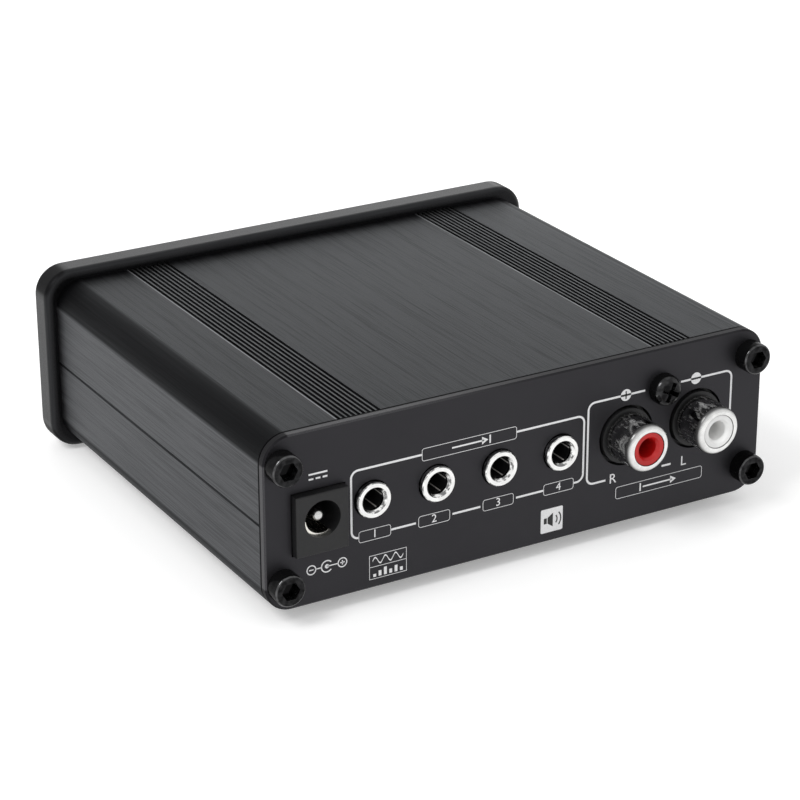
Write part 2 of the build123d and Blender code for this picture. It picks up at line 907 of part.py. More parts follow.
def make_power():
    parts["power_button"] = at_front(power_button(), power_x)
    parts["power_plunger"] = at_front(power_plunger(), power_x)
    parts["power_switch_body"] = at_front(power_switch(), power_x)
    parts["power_spring"] = at_front(power_spring(), power_x)
    parts["power_led"] = at_front(power_led(), led_x)
    leads = [power_led_lead(side * lead_spacing / 2) for side in (-1, 1)]
    parts["power_led_leads"] = at_front(group(leads), led_x)


# Parts on the board, in rows from the rear plate forwards


def relay(x, y):
    """Small sealed relay, one for each input."""
    half = relay_width / 2
    return block(x - half, x + half, y - relay_length, y, board_top, board_top + relay_height)


def chip(x, y):
    """Eight-legged amplifier chip."""
    half = chip_width / 2
    low = board_top + chip_stand
    body = block(x - half, x + half, y - chip_length, y, low, low + chip_height)
    leg_half = chip_leg_width / 2
    shoulder = low + chip_height / 2
    first = y - chip_length / 2 + (chip_legs - 1) / 2 * chip_leg_pitch
    for side in (-1, 1):
        edge = x + side * half
        outer = edge + side * chip_leg_thickness
        for i in range(chip_legs):
            leg_y = first - i * chip_leg_pitch
            sides = sorted((edge, outer))
            body += block(*sides, leg_y - leg_half, leg_y + leg_half, board_top, shoulder)
    return body


def electrolytic(x, y):
    """Electrolytic capacitor standing on the board, with its crimped neck."""
    radius = electrolytic_radius
    neck = radius - electrolytic_neck
    profile = [
        (0, 0),
        (radius, 0),
        (radius, electrolytic_neck),
        (neck, 2 * electrolytic_neck),
        (neck, 3 * electrolytic_neck),
        (radius, 4 * electrolytic_neck),
        (radius, electrolytic_height - electrolytic_neck),
        (neck, electrolytic_height),
        (0, electrolytic_height),
    ]
    return Pos(x, y, board_top) * Rot(90, 0, 0) * turned(profile)


def film_capacitor(x, y):
    """Boxed film capacitor."""
    half = film_width / 2
    return block(x - half, x + half, y - film_thickness, y, board_top, board_top + film_height)


def regulator(x, y):
    """Flat three-legged voltage regulator, standing on its legs."""
    half = regulator_width / 2
    low = board_top + regulator_stand
    top = low + regulator_height
    body = block(x - half, x + half, y - regulator_thickness, y, low, top)
    body -= rod(regulator_hole, y - regulator_thickness, y, x, top - regulator_hole_drop)
    mid = y - regulator_thickness / 2
    leg_half = regulator_leg / 2
    for i in (-1, 0, 1):
        leg_x = x + i * regulator_leg_pitch
        body += block(leg_x - leg_half, leg_x + leg_half, mid - leg_half, mid + leg_half, board_top, low)
    return body


def make_board_parts():
    behind_jacks = y_case_rear - jack_depth
    relay_y = behind_jacks - relay_gap
    parts["relays"] = group(relay(x, relay_y) for x in jack_places)
    chip_y = relay_y - relay_length - chip_gap
    chips_x = [jacks_x + side * chip_spacing / 2 for side in (-1, 1)]
    parts["amplifier_chips"] = group(chip(x, chip_y) for x in chips_x)
    behind_phonos = y_case_rear - phono_depth - phono_leg
    film_y = behind_phonos - film_gap
    films = [film_capacitor(phono_x, film_y - i * film_pitch) for i in range(film_count)]
    parts["film_capacitors"] = group(films)
    behind_dc = y_rear - dc_depth - contact_leg
    regulator_y = behind_dc - regulator_gap
    parts["voltage_regulator"] = regulator(dc_x, regulator_y)
    first = regulator_y - regulator_thickness - electrolytic_gap - electrolytic_radius
    rows = [first - i * electrolytic_spacing for i in range(electrolytic_count)]
    parts["electrolytic_capacitors"] = group(electrolytic(dc_x, y) for y in rows)


make_case()
make_screws()
make_jacks()
make_phonos()
make_dc_socket()
make_controls()
make_power()
make_board_parts()

os.makedirs("parts", exist_ok=True)
for name, part in parts.items():
    export_step(part, f"parts/{name}.step")
print(len(parts), "nodes, overall depth", overall_depth)
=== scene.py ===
import json
import math

import bmesh
import bpy
from bpy.props import FloatProperty, FloatVectorProperty, PointerProperty
from mathutils import Matrix, Quaternion, Vector


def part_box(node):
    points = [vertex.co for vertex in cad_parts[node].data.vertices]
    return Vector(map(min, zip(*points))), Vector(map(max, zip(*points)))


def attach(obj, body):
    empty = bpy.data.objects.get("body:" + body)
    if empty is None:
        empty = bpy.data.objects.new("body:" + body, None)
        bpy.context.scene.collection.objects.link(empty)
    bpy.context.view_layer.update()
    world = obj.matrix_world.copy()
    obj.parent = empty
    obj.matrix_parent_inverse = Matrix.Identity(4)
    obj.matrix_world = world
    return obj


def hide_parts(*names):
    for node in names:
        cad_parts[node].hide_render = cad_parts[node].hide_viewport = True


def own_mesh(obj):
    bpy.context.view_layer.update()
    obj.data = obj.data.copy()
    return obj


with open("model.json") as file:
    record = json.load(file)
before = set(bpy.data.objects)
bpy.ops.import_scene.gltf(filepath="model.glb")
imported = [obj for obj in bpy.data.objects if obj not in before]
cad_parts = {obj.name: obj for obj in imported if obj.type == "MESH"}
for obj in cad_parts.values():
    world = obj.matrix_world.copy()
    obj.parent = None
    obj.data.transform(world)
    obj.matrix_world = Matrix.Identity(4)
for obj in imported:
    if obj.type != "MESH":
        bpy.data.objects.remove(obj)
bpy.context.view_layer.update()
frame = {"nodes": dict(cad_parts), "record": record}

bl_info = {
    "name": "Audio switch box",
    "version": (1, 0, 0),
    "blender": (4, 5, 0),
    "location": "3D View > Sidebar > Switch Box",
    "description": "Finishes, printed marks and a stage for the audio switch box",
    "category": "Object",
}

MM = 0.001


# Places that the frame gives


def middle(node):
    """Middle of a node's box."""
    low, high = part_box(node)
    return (low + high) / 2


PLATE_LOW, PLATE_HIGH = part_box("rear_plate")
PANEL_LOW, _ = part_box("front_panel")
SHELL_LOW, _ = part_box("lower_shell")
_, SHELL_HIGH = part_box("upper_shell")
SEAM = (SHELL_LOW.z + SHELL_HIGH.z) / 2

# From a printed face's own right, up and out to the frame
REAR_FACE = Matrix(((-1, 0, 0, 0), (0, 0, 1, PLATE_HIGH.y), (0, 1, 0, 0), (0, 0, 0, 1)))
FRONT_FACE = Matrix(((1, 0, 0, 0), (0, 0, -1, PANEL_LOW.y), (0, 1, 0, 0), (0, 0, 0, 1)))


def on_rear(node):
    """Middle of a node as the rear face has it: right, up and out."""
    return REAR_FACE.inverted() @ middle(node)


INPUT_NAMES = [f"input_socket_{number}" for number in range(1, 5)]
INPUTS = [on_rear(f"{name}_bushing") for name in INPUT_NAMES]
PHONO_RIGHT = on_rear("phono_barrel_right")
PHONO_LEFT = on_rear("phono_barrel_left")


# Settings


def length(name, description, millimetres):
    """A length, given in millimetres."""
    return FloatProperty(
        name=name, description=description, default=millimetres * MM, min=0.0, unit="LENGTH", precision=5
    )


def share(name, description, default):
    """A share of a whole, from 0 to 1."""
    return FloatProperty(
        name=name, description=description, default=default, min=0.0, max=1.0, subtype="FACTOR"
    )


def tint(name, description, default):
    """A colour."""
    return FloatVectorProperty(
        name=name, description=description, default=default, min=0.0, max=1.0, subtype="COLOR"
    )


def angle(name, description, degrees):
    """An angle, given in degrees."""
    return FloatProperty(name=name, description=description, default=math.radians(degrees), subtype="ANGLE")


def power(name, description, watts):
    """A lamp's power."""
    return FloatProperty(name=name, description=description, default=watts, min=0.0, unit="POWER")


class CaseSettings(bpy.types.PropertyGroup):
    """Finishes of the shells, the rear plate and the front panel."""

    top_colour: tint("Top colour", "Brushed top and bottom of the shells", (0.012, 0.0123, 0.0132))
    # Side colour is a painted light: the sides get a lighter copy of the tops' finish.
    side_colour: tint("Side colour", "Brushed sides of the shells", (0.0535, 0.054, 0.057))
    # Corner colour is a painted dark reflection on the rounded corners, which are also not brushed.
    corner_colour: tint("Corner colour", "Rounded corners, which are not brushed", (0.004, 0.004, 0.0045))
    sheen_colour: tint("Sheen colour", "Tint of the shells' glancing reflections", (0.97, 0.985, 1.0))
    # Ridge colour and border colour are painted highlights on the grooved groups of the top.
    ridge_colour: tint("Ridge colour", "Highlighted ridges between the grooves", (0.055, 0.0555, 0.057))
    border_colour: tint("Border colour", "Bright edge of each group of grooves", (0.22, 0.22, 0.23))
    border_width: length("Border width", "Across the bright edge of a group of grooves", 0.32)
    groove_middle: length("Groove middle", "From the middle of the case to the middle of a group", 28.7)
    groove_half: length("Groove half", "From the middle of a group to its outer edges", 3.72)
    grain_width: length("Grain width", "Across one brushed streak", 0.15)
    grain_length: length("Grain length", "Along one brushed streak", 16.0)
    grain_contrast: share("Grain contrast", "How much the streaks differ in tone", 0.6)
    grain_depth: share("Grain depth", "How dull the darkest streaks are", 0.38)
    # Corner depth sets a painted shade: a dark veil over the rounded corners.
    corner_depth: share("Corner depth", "How dull the rounded corners are", 0.28)
    plate_colour: tint("Plate colour", "Fine matt coat of the rear plate", (0.006, 0.006, 0.0066))
    plate_sheen: tint("Plate sheen", "Tint of the rear plate's reflections", (0.93, 0.9, 1.0))
    # Plate edge colour is a painted highlight along the plate's edge.
    plate_edge_colour: tint("Plate edge colour", "Glinting edge of the rear plate", (0.03, 0.03, 0.031))
    plate_corner: length("Plate corner", "Radius of the rear plate's corners", 4.5)
    panel_colour: tint("Panel colour", "Satin rim of the front panel", (0.025, 0.0255, 0.027))
    panel_front_colour: tint("Panel front colour", "Brushed face of the front panel", (0.034, 0.0343, 0.036))
    # Panel back colour is painted shade on the panel's back face and rounded corners.
    panel_back_colour: tint("Panel back colour", "Back and corners of the front panel", (0.016, 0.016, 0.017))
    screw_head: length("Screw head", "Radius of the corner screws' heads", 2.6)


class PrintSettings(bpy.types.PropertyGroup):
    """Printed marks on the two faces."""

    ink_colour: tint("Ink colour", "White of the printed marks", (0.84, 0.84, 0.85))
    ink_thickness: length("Ink thickness", "Film of ink above the face", 0.03)
    stroke: length("Stroke", "Width of the frame lines", 0.34)
    hairline: length("Hairline", "Width of the lines round the labels", 0.08)
    frame_corner: length("Frame corner", "Outer radius of the frames' corners", 1.4)
    label_corner: length("Label corner", "Outer radius of the labels' corners", 0.45)
    digit: length("Digit height", "Height of the numbers under the inputs", 1.4)
    letter: length("Letter height", "Height of the letters under the phono sockets", 1.75)
    sign_stroke: length("Sign stroke", "Width of the lines in the arrows and the front signs", 0.26)
    sign_rise: length("Sign rise", "From a control on the front to the sign over it", 7.0)


class DialSettings(bpy.types.PropertyGroup):
    """Marks round the knobs and the paint in their pointers."""

    tick_gap: length("Tick gap", "From a knob's rim to its ticks", 0.9)
    tick_length: length("Tick length", "Along one tick", 1.1)
    tick_width: length("Tick width", "Across one tick", 0.3)
    digit_gap: length("Digit gap", "From the ticks to the middle of the numbers", 1.35)
    digit: length("Digit height", "Height of the numbers round a knob", 1.7)
    pointer_width: length("Pointer width", "Across the paint in a pointer", 0.84)
    pointer_start: length("Pointer start", "From a knob's axis to the paint", 3.3)
    pointer_depth: length("Pointer depth", "Paint below a knob's front", 0.12)
    selector_angle: angle("Selector angle", "Where the selector points at rest", -45.0)
    selector_sweep: angle("Selector sweep", "From the first input to the last", 90.0)
    volume_sweep: angle("Volume sweep", "From the least volume to the most", 300.0)


class SpringSettings(bpy.types.PropertyGroup):
    """Return spring of the power button."""

    wire: length("Wire", "Radius of the spring's wire", 0.17)
    turns: FloatProperty(name="Turns", description="Turns of the spring", default=2.75, min=1.0)


class StageSettings(bpy.types.PropertyGroup):
    """Floor, light and camera."""

    floor_colour: tint("Floor colour", "Pale floor", (0.86, 0.86, 0.86))
    floor_lift: share("Floor lift", "Light of its own that brings the floor to white", 0.3)
    floor_size: length("Floor size", "Side of the floor", 6000.0)
    ambient: share("Ambient", "Even light from all round", 0.78)
    key_power: power("Key power", "Soft lamp high at the side", 3.2)
    key_size: length("Key size", "Side of the soft lamp", 320.0)
    key_distance: length("Key distance", "From the box to the soft lamp", 900.0)
    key_azimuth: angle("Key azimuth", "Soft lamp's turn round the box, from straight in front", 103.0)
    key_elevation: angle("Key elevation", "Soft lamp's rise above the floor", 48.0)
    strip_power: power("Strip power", "Low strip in front", 0.11)
    strip_width: length("Strip width", "Across the low strip", 400.0)
    strip_height: length("Strip height", "Height of the low strip", 110.0)
    strip_distance: length("Strip distance", "From the box to the low strip", 220.0)
    strip_azimuth: angle("Strip azimuth", "Low strip's turn round the box, from straight in front", -24.0)
    strip_elevation: angle("Strip elevation", "Low strip's rise above the floor", 14.0)
    azimuth: angle("Azimuth", "Camera's turn round the box, from straight in front", 149.938)
    elevation: angle("Elevation", "Camera's rise above the floor", 23.174)
    roll: angle("Roll", "Camera's tilt", -0.158)
    distance: length("Distance", "From the aim to the camera", 431.34)
    aim: FloatVectorProperty(
        name="Aim",
        description="Point that the camera looks at",
        default=(0.012135, 0.0261, 0.023992),
        subtype="TRANSLATION",
        unit="LENGTH",
    )
    sensor: FloatProperty(name="Sensor", description="Width of the sensor", default=36.0, unit="CAMERA")
    lens: FloatProperty(name="Lens", description="Focal length", default=121.82, unit="CAMERA")


# Materials


class Value:
    """A socket whose number varies over a surface. Arithmetic on it adds Math nodes."""

    def __init__(self, graph, socket):
        self.graph = graph
        self.socket = socket

    def math(self, operation, *values):
        return self.graph.node("ShaderNodeMath", {"operation": operation}, dict(enumerate(values)))

    def __add__(self, other):
        return self.math("ADD", self, other)

    __radd__ = __add__

    def __sub__(self, other):
        return self.math("SUBTRACT", self, other)

    def __rsub__(self, other):
        return self.math("SUBTRACT", other, self)

    def __mul__(self, other):
        return self.math("MULTIPLY", self, other)

    __rmul__ = __mul__

    def __pow__(self, other):
        return self.math("POWER", self, other)

    def __abs__(self):
        return self.math("ABSOLUTE", self)

    def __or__(self, other):
        return self.math("MAXIMUM", self, other)


class Graph:
    """Adds nodes to one tree."""

    def __init__(self, tree):
        self.tree = tree

    def node(self, kind, settings=None, sockets=None, output=0):
        """A node of that kind, with its settings made first. Returns one of its outputs."""
        node = self.tree.nodes.new(kind)
        for name, value in (settings or {}).items():
            setattr(node, name, value)
        for name, value in (sockets or {}).items():
            self.feed(node.inputs[name], value)
        return Value(self, node.outputs[output])

    def feed(self, socket, value):
        """Links a value to a socket, or sets a constant on it."""
        if isinstance(value, Value):
            self.tree.links.new(value.socket, socket)
        elif hasattr(value, "__len__") and len(value) == 3 and socket.type == "RGBA":
            socket.default_value = (*value, 1.0)
        else:
            socket.default_value = value


class Finish(Graph):
    """One material: a Principled shader whose constants are set at once and whose patterns are added."""

    def __init__(self, name, colour, **constants):
        self.material = bpy.data.materials.new(name)
        self.material.use_nodes = True
        super().__init__(self.material.node_tree)
        self.shader = self.tree.nodes["Principled BSDF"]
        self.set("Base Color", colour)
        for key, value in constants.items():
            self.set(key.replace("_", " ").title().replace("Ior", "IOR"), value)

    def set(self, socket, value):
        """Sets or links one of the shader's own sockets."""
        self.feed(self.shader.inputs[socket], value)

    def place(self, output="Object"):
        """Where a point of the surface is, or with Normal the way that it faces."""
        return self.node("ShaderNodeTexCoord", output=output)

    def parts(self, vector):
        """X, Y and Z of a vector."""
        return [self.node("ShaderNodeSeparateXYZ", sockets={0: vector}, output=axis) for axis in range(3)]

    def noise(self, size, detail=2.0, rough=0.5):
        """Soft random pattern, whose size is one length or three, from 0 to 1."""
        sizes = size if hasattr(size, "__len__") else (size, size, size)
        scale = [1 / side for side in sizes]
        scaled = self.node("ShaderNodeMapping", sockets={"Vector": self.place(), "Scale": scale})
        return self.speckle(scaled, detail, rough)

    def speckle(self, vector, detail=2.0, rough=0.5):
        """Soft random pattern along a vector, stretched to go from 0 to 1."""
        sockets = {"Vector": vector, "Scale": 1.0, "Detail": detail, "Roughness": rough}
        return self.spread(self.node("ShaderNodeTexNoise", sockets=sockets), 0.3, 0.7)

    def radius(self, node, head=None):
        """Distance from a node's axis, or from the nearest axis of four heads with the given radius."""
        centre = middle(node)
        _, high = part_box(node)
        x, _, z = self.parts(self.place())
        off_x = x - centre.x
        off_z = z - centre.z
        if head:
            off_x = abs(off_x) - (high.x - centre.x - head)
            off_z = abs(off_z) - (high.z - centre.z - head)
        return (off_x**2 + off_z**2) ** 0.5

    def spread(self, value, low, high):
        """Stretches the range from low to high to 0 to 1."""
        sockets = {"Value": value, "From Min": low, "From Max": high}
        return self.node("ShaderNodeMapRange", {"interpolation_type": "SMOOTHSTEP"}, sockets)

    def blend(self, factor, first, second):
        """Colour between two colours."""
        sockets = {0: factor, 6: rgba(first), 7: rgba(second)}
        return self.node("ShaderNodeMix", {"data_type": "RGBA"}, sockets, output=2)

    def vary(self, factor, colour, least, most):
        """One colour, from a darker to a lighter shade of it."""
        return self.blend(factor, shade(colour, least), shade(colour, most))

    def veil(self, factor, colour):
        """Covers a varying share of the shader with a matt colour."""
        matt = self.node("ShaderNodeBsdfDiffuse", sockets={"Color": colour})
        sockets = {0: factor, 1: Value(self, self.shader.outputs[0]), 2: matt}
        surface = self.tree.nodes["Material Output"].inputs["Surface"]
        self.feed(surface, self.node("ShaderNodeMixShader", sockets=sockets))

    def bump(self, height, depth, strength=1.0):
        """Fine relief of that depth."""
        sockets = {"Height": height, "Distance": depth, "Strength": strength}
        self.set("Normal", self.node("ShaderNodeBump", sockets=sockets))


def rgba(colour):
    """A colour as a Mix node takes it."""
    return colour if isinstance(colour, Value) else (*colour, 1.0)


def shade(colour, factor):
    """A colour made lighter or darker."""
    return tuple(min(1.0, part * factor) for part in colour)


def brushed_shell(case):
    """Black anodised aluminium, brushed lengthwise on the flats and plain on the rounded corners. The sides
    are a lighter copy of the tops, a painted light. The rounded corners carry a painted dark reflection, and
    the rear end, where the shells meet the plate, carries painted shade.
    """
    finish = Finish("brushed_shell", case.top_colour, metallic=1.0, specular_tint=case.sheen_colour)
    fine = finish.noise((case.grain_width, case.grain_length, case.grain_width), 4.0, 0.65)
    bands = finish.noise((5 * case.grain_width, 2 * case.grain_length, 5 * case.grain_width), 3.0)
    across, _, up = finish.parts(finish.place("Normal"))
    x, y, z = finish.parts(finish.place())
    from_seam = finish.spread(abs(z - SEAM), 0.6 * MM, 1.0 * MM)
    # Mask of the rounded corners, which get a painted dark reflection and no brushing.
    corner = finish.spread(abs(across * up), 0.07, 0.16) * (0.35 + 0.65 * from_seam)
    side = finish.spread(abs(across), 0.6, 0.8)
    grain = fine + (bands - fine) * (0.3 - 0.2 * side)
    dark = 1 - case.grain_contrast
    light = 1 + case.grain_contrast
    tops = grooved(finish, case, x, grain, finish.vary(grain, case.top_colour, dark, light))
    # Painted light: the sides take the lighter side colour and the tops take the darker top colour.
    flats = finish.blend(side, tops, finish.vary(grain, case.side_colour, dark, light))
    finish.set("Base Color", finish.blend(corner, flats, case.corner_colour))
    finish.set("Roughness", 0.34 + 0.14 * grain + 0.1 * corner)
    finish.bump(fine * (1 - corner), 0.02 * MM, 0.3)
    # Painted shade: the last fraction of a millimetre of the shells, where they meet the rear plate, is
    # darkened by the veil below.
    end = finish.spread(y, SHELL_HIGH.y - 0.25 * MM, SHELL_HIGH.y - 0.1 * MM)
    dull = finish.spread(1 - grain, 0.35, 0.95) * case.grain_depth * (1 - 0.6 * side)
    # The veil dulls the darkest streaks of the grain, and paints shade on the rounded corners and at the rear
    # end.
    finish.veil(dull * (1 - corner) + case.corner_depth * corner | 0.7 * end, shade(case.corner_colour, 0.5))
    return finish.material


def grooved(finish, case, x, grain, tops):
    """Colour of the tops, with a painted highlight on the ridges between the grooves and a painted highlight
    line beside each group.
    """
    ridges = finish.spread(case.groove_half - abs(abs(x) - case.groove_middle), 0.0, 0.05 * MM)
    # Painted highlight: the grooved groups are lighter than the rest of the top.
    tops = finish.blend(ridges, tops, case.ridge_colour)
    half = case.border_width / 2
    for group in (-1, 1):
        edge = group * case.groove_middle + case.groove_half + half
        # Painted highlight: a thin bright line along the positive-X side of each group.
        border = finish.spread(half - abs(x - edge), 0.0, 0.08 * MM)
        tops = finish.blend(border * (0.4 + 0.6 * grain), tops, case.border_colour)
    return tops


def matt_plate(case):
    """Fine matt black coat with a faint speckle, and a painted highlight along part of the plate's outer
    edge.
    """
    gloss = {"specular_ior_level": 0.36, "specular_tint": case.plate_sheen}
    finish = Finish("matt_plate", case.plate_colour, **gloss)
    speckle = finish.noise(0.14 * MM, 3.0, 0.6)
    cloud = finish.noise(9 * MM, 2.0)
    x, y, z = finish.parts(finish.place())
    half = (PLATE_HIGH - PLATE_LOW) / 2
    height = (PLATE_HIGH.z + PLATE_LOW.z) / 2
    beyond_x = (abs(x) - (half.x - case.plate_corner)) | 0.0
    beyond_z = (abs(z - height) - (half.z - case.plate_corner)) | 0.0
    reach = (beyond_x * beyond_x + beyond_z * beyond_z) ** 0.5
    edge = finish.spread(reach, case.plate_corner - 0.34 * MM, case.plate_corner - 0.2 * MM)
    straight = 1 - finish.spread(beyond_x * beyond_z, 0.0, 2 * MM**2)
    # Painted highlight: the straight parts of the plate's edge are lighter, more so towards positive X.
    wear_and_glint = edge * straight * (0.25 + 0.75 * finish.spread(x, -10 * MM, 25 * MM))
    tone = speckle * 0.6 + cloud * 0.4
    coat = finish.vary(tone, case.plate_colour, 0.7, 1.4)
    glinting_edge = finish.vary(speckle, case.plate_edge_colour, 0.5, 1.5)
    finish.set("Base Color", finish.blend(wear_and_glint, coat, glinting_edge))
    finish.set("Roughness", 0.42 + 0.1 * speckle)
    finish.bump(speckle, 0.012 * MM, 0.35)
    # Painted shade: the plate darkens at its inner edge, where it meets the shells, and along its edges and
    # corners outside the painted highlight.
    joint = 1 - finish.spread(y, PLATE_LOW.y + 0.25 * MM, PLATE_LOW.y + 0.45 * MM)
    finish.veil(0.7 * joint | 0.55 * (edge - wear_and_glint), shade(case.plate_colour, 0.3))
    return finish.material


def satin_panel(case):
    """Satin black anodised panel: its face and rim are brushed along, and its back and corners are plain and
    painted darker, a painted shade.
    """
    finish = Finish("satin_panel", case.panel_colour, metallic=1.0)
    blast = finish.noise(0.12 * MM, 3.0, 0.6)
    streaks = finish.noise((9 * MM, 0.3 * MM, 9 * MM), 3.0, 0.6)
    brushing = finish.noise((14 * MM, 4 * MM, 0.13 * MM), 4.0, 0.65)
    across, along, up = finish.parts(finish.place("Normal"))
    # The rounded corners and the back face take the darker colour, a painted shade; the front face stays
    # brushed.
    corner = finish.spread(abs(across * up), 0.08, 0.3)
    face = finish.spread(abs(along), 0.7, 0.97)
    rim = finish.vary(0.4 * blast + 0.6 * streaks, case.panel_colour, 0.75, 1.25)
    plain = finish.vary(blast, case.panel_back_colour, 0.7, 1.3)
    brushed = finish.vary(brushing, case.panel_front_colour, 0.55, 1.45)
    front = finish.spread(0 - along, 0.9, 0.99)
    finish.set("Base Color", finish.blend(front, finish.blend(corner | face, rim, plain), brushed))
    finish.set("Roughness", 0.34 + 0.12 * blast)
    finish.bump(blast * (1 - front) + brushing * front, 0.012 * MM, 0.3)
    # Painted shade: a dark veil over the rounded corners.
    finish.veil(0.6 * corner, shade(case.panel_back_colour, 0.3))
    return finish.material


def black_oxide(node, head=None, rim_glint=1.0, recess=1.5 * MM):
    """Black oxide on steel screws, with painted highlights on the rims and the recess walls, and painted
    shade on the flanks and the recess bottoms.
    """
    finish = Finish(f"black_{node}", (0.02, 0.02, 0.021), metallic=1.0)
    wear_and_glint = finish.noise(0.9 * MM, 3.0, 0.5)
    _, out, _ = finish.parts(finish.place("Normal"))
    facing = finish.spread(abs(out), 0.1, 0.5)
    # Painted highlight: the rounded rim between face and flank is lighter.
    rim = facing * (1 - finish.spread(abs(out), 0.8, 0.95))
    heads = finish.blend(wear_and_glint, (0.008, 0.008, 0.0083), (0.028, 0.028, 0.029))
    glinting_rims = finish.blend(rim * (0.4 + 0.6 * wear_and_glint) * rim_glint, heads, (0.10, 0.10, 0.102))
    low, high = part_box(node)
    _, along, _ = finish.parts(finish.place())
    depth = (high.y - low.y) / 2 - abs(along - middle(node).y)
    within = 1 - finish.spread(finish.radius(node, head), recess - 0.25 * MM, recess)
    # Painted glints on the recess walls, and painted shade on the recess bottom.
    glinting_walls = within * (1 - facing)
    bottom = within * facing * finish.spread(depth, 0.4 * MM, 0.6 * MM)
    sunk = finish.blend(bottom, glinting_rims, (0.007, 0.007, 0.0072))
    finish.set("Base Color", finish.blend(glinting_walls, sunk, (0.2, 0.2, 0.205)))
    finish.set("Roughness", 0.09 + 0.12 * wear_and_glint + 0.2 * glinting_walls)
    finish.bump(wear_and_glint, 0.01 * MM, 0.25)
    # Painted shade: a dark veil over the flanks.
    finish.veil(0.7 * (1 - facing) * (1 - glinting_walls), (0.006, 0.006, 0.0063))
    return finish.material


def bright_nickel():
    """Polished nickel plate, with faint turning lines, and painted shade and mottled painted reflections
    where it faces sideways.
    """
    finish = Finish("bright_nickel", (0.80, 0.79, 0.77), metallic=1.0)
    lines = finish.noise((3 * MM, 0.08 * MM, 3 * MM), 2.0)
    haze = finish.noise(1.2 * MM, 3.0)
    _, out, _ = finish.parts(finish.place("Normal"))
    sideways = 1 - finish.spread(abs(out), 0.72, 0.95)
    mottle = finish.spread(finish.noise((0.9 * MM, 0.5 * MM, 0.9 * MM), 2.0), 0.2, 0.8)
    faces = finish.blend(haze, (0.74, 0.74, 0.73), (0.86, 0.86, 0.85))
    # Painted shade and reflection: the sideways faces, the bore and the outer side, are mottled from dark to
    # light.
    flanks = finish.blend(mottle, (0.20, 0.20, 0.20), (0.84, 0.84, 0.83))
    finish.set("Base Color", finish.blend(sideways, faces, flanks))
    finish.set("Roughness", 0.1 + 0.1 * haze)
    finish.bump(lines, 0.006 * MM, 0.35)
    return finish.material


def barrel_nickel():
    """Nickel plate on the phono barrels: a side painted dark, a painted dark reflection, with bright flecks
    round it, and a lip with painted shade that darkens outwards.
    """
    finish = Finish("barrel_nickel", (0.70, 0.69, 0.68), metallic=1.0)
    bright_flecks = finish.spread(finish.noise((0.5 * MM, 1.6 * MM, 0.5 * MM), 4.0, 0.6), 0.5, 1.0)
    haze = finish.noise(1.4 * MM, 2.0)
    _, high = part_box("phono_barrel_right")
    _, along, _ = finish.parts(finish.place())
    _, out, _ = finish.parts(finish.place("Normal"))
    lip = finish.spread(along, high.y - 1.1 * MM, high.y - 0.8 * MM)
    # Painted dark reflection: the barrel's side is much darker than its nickel lip.
    side = finish.blend(haze, (0.28, 0.28, 0.28), (0.44, 0.44, 0.43))
    # Painted shade: the lip darkens where it turns sideways.
    turn = finish.spread(abs(out), 0.4, 1.0) * (0.8 + 0.2 * haze)
    rim = finish.blend(turn, (0.12, 0.12, 0.12), (0.78, 0.78, 0.77))
    finish.set("Base Color", finish.blend(lip, finish.blend(bright_flecks, side, (0.7, 0.7, 0.69)), rim))
    finish.set("Roughness", 0.1 + 0.06 * haze + 0.22 * bright_flecks * (1 - lip) + 0.1 * lip)
    finish.bump(bright_flecks * (1 - lip), 0.006 * MM, 0.2)
    # Painted shade: a dark veil over the lip's outer part.
    outer = lip * (1 - finish.spread(abs(out), 0.3, 0.85)) * (0.3 + 0.7 * haze)
    finish.veil(0.8 * outer, (0.05, 0.05, 0.05))
    return finish.material


def moulded(name, colour, roughness, grain=0.12, gloss=0.5, crevice_shade=None):
    """Moulded plastic with a fine grain, uneven in colour, and with painted shade beyond a radius about a
    node's axis.
    """
    finish = Finish(name, colour, specular_ior_level=gloss)
    texture = finish.noise(grain * MM, 3.0, 0.55)
    flow = finish.noise(4 * MM, 2.0)
    finish.set("Base Color", finish.vary(flow, colour, 0.9, 1.08))
    finish.set("Roughness", roughness + 0.1 * texture)
    finish.bump(texture, 0.01 * MM, 0.3)
    if crevice_shade:
        node, radius, tone = crevice_shade
        # Painted shade: the plastic darkens in the crevice beyond the radius.
        finish.veil(finish.spread(finish.radius(node), radius - 0.15 * MM, radius), shade(colour, tone))
    return finish.material


def plated(name, colour, roughness, relief=0.3):
    """Thin plating over drawn metal, with fine draw marks."""
    finish = Finish(name, colour, metallic=1.0)
    marks = finish.noise((0.1 * MM, 1.5 * MM, 0.1 * MM), 2.0)
    finish.set("Base Color", finish.vary(marks, colour, 0.86, 1.06))
    finish.set("Roughness", roughness + 0.12 * marks)
    finish.bump(marks, 0.006 * MM, relief)
    return finish.material


def turned_black(name, colour, node):
    """Black anodised aluminium, turned: fine rings about the knob's axis."""
    finish = Finish(name, colour, metallic=1.0)
    _, along, _ = finish.parts(finish.place())
    ring = finish.radius(node) * (1 / (0.16 * MM))
    step = along * (1 / (0.3 * MM))
    marks = finish.speckle(finish.node("ShaderNodeCombineXYZ", sockets={0: ring, 1: step}))
    finish.set("Base Color", finish.vary(marks, colour, 0.65, 1.35))
    finish.set("Roughness", 0.26 + 0.14 * marks)
    finish.bump(marks, 0.008 * MM, 0.3)
    return finish.material


def soft_rubber():
    """Soft black rubber with a dusty bloom."""
    finish = Finish("soft_rubber", (0.02, 0.02, 0.02))
    bloom = finish.noise(1.4 * MM, 4.0, 0.6)
    finish.set("Base Color", finish.blend(bloom, (0.014, 0.014, 0.014), (0.034, 0.034, 0.033)))
    finish.set("Roughness", 0.7 + 0.2 * bloom)
    finish.bump(bloom, 0.02 * MM, 0.4)
    return finish.material


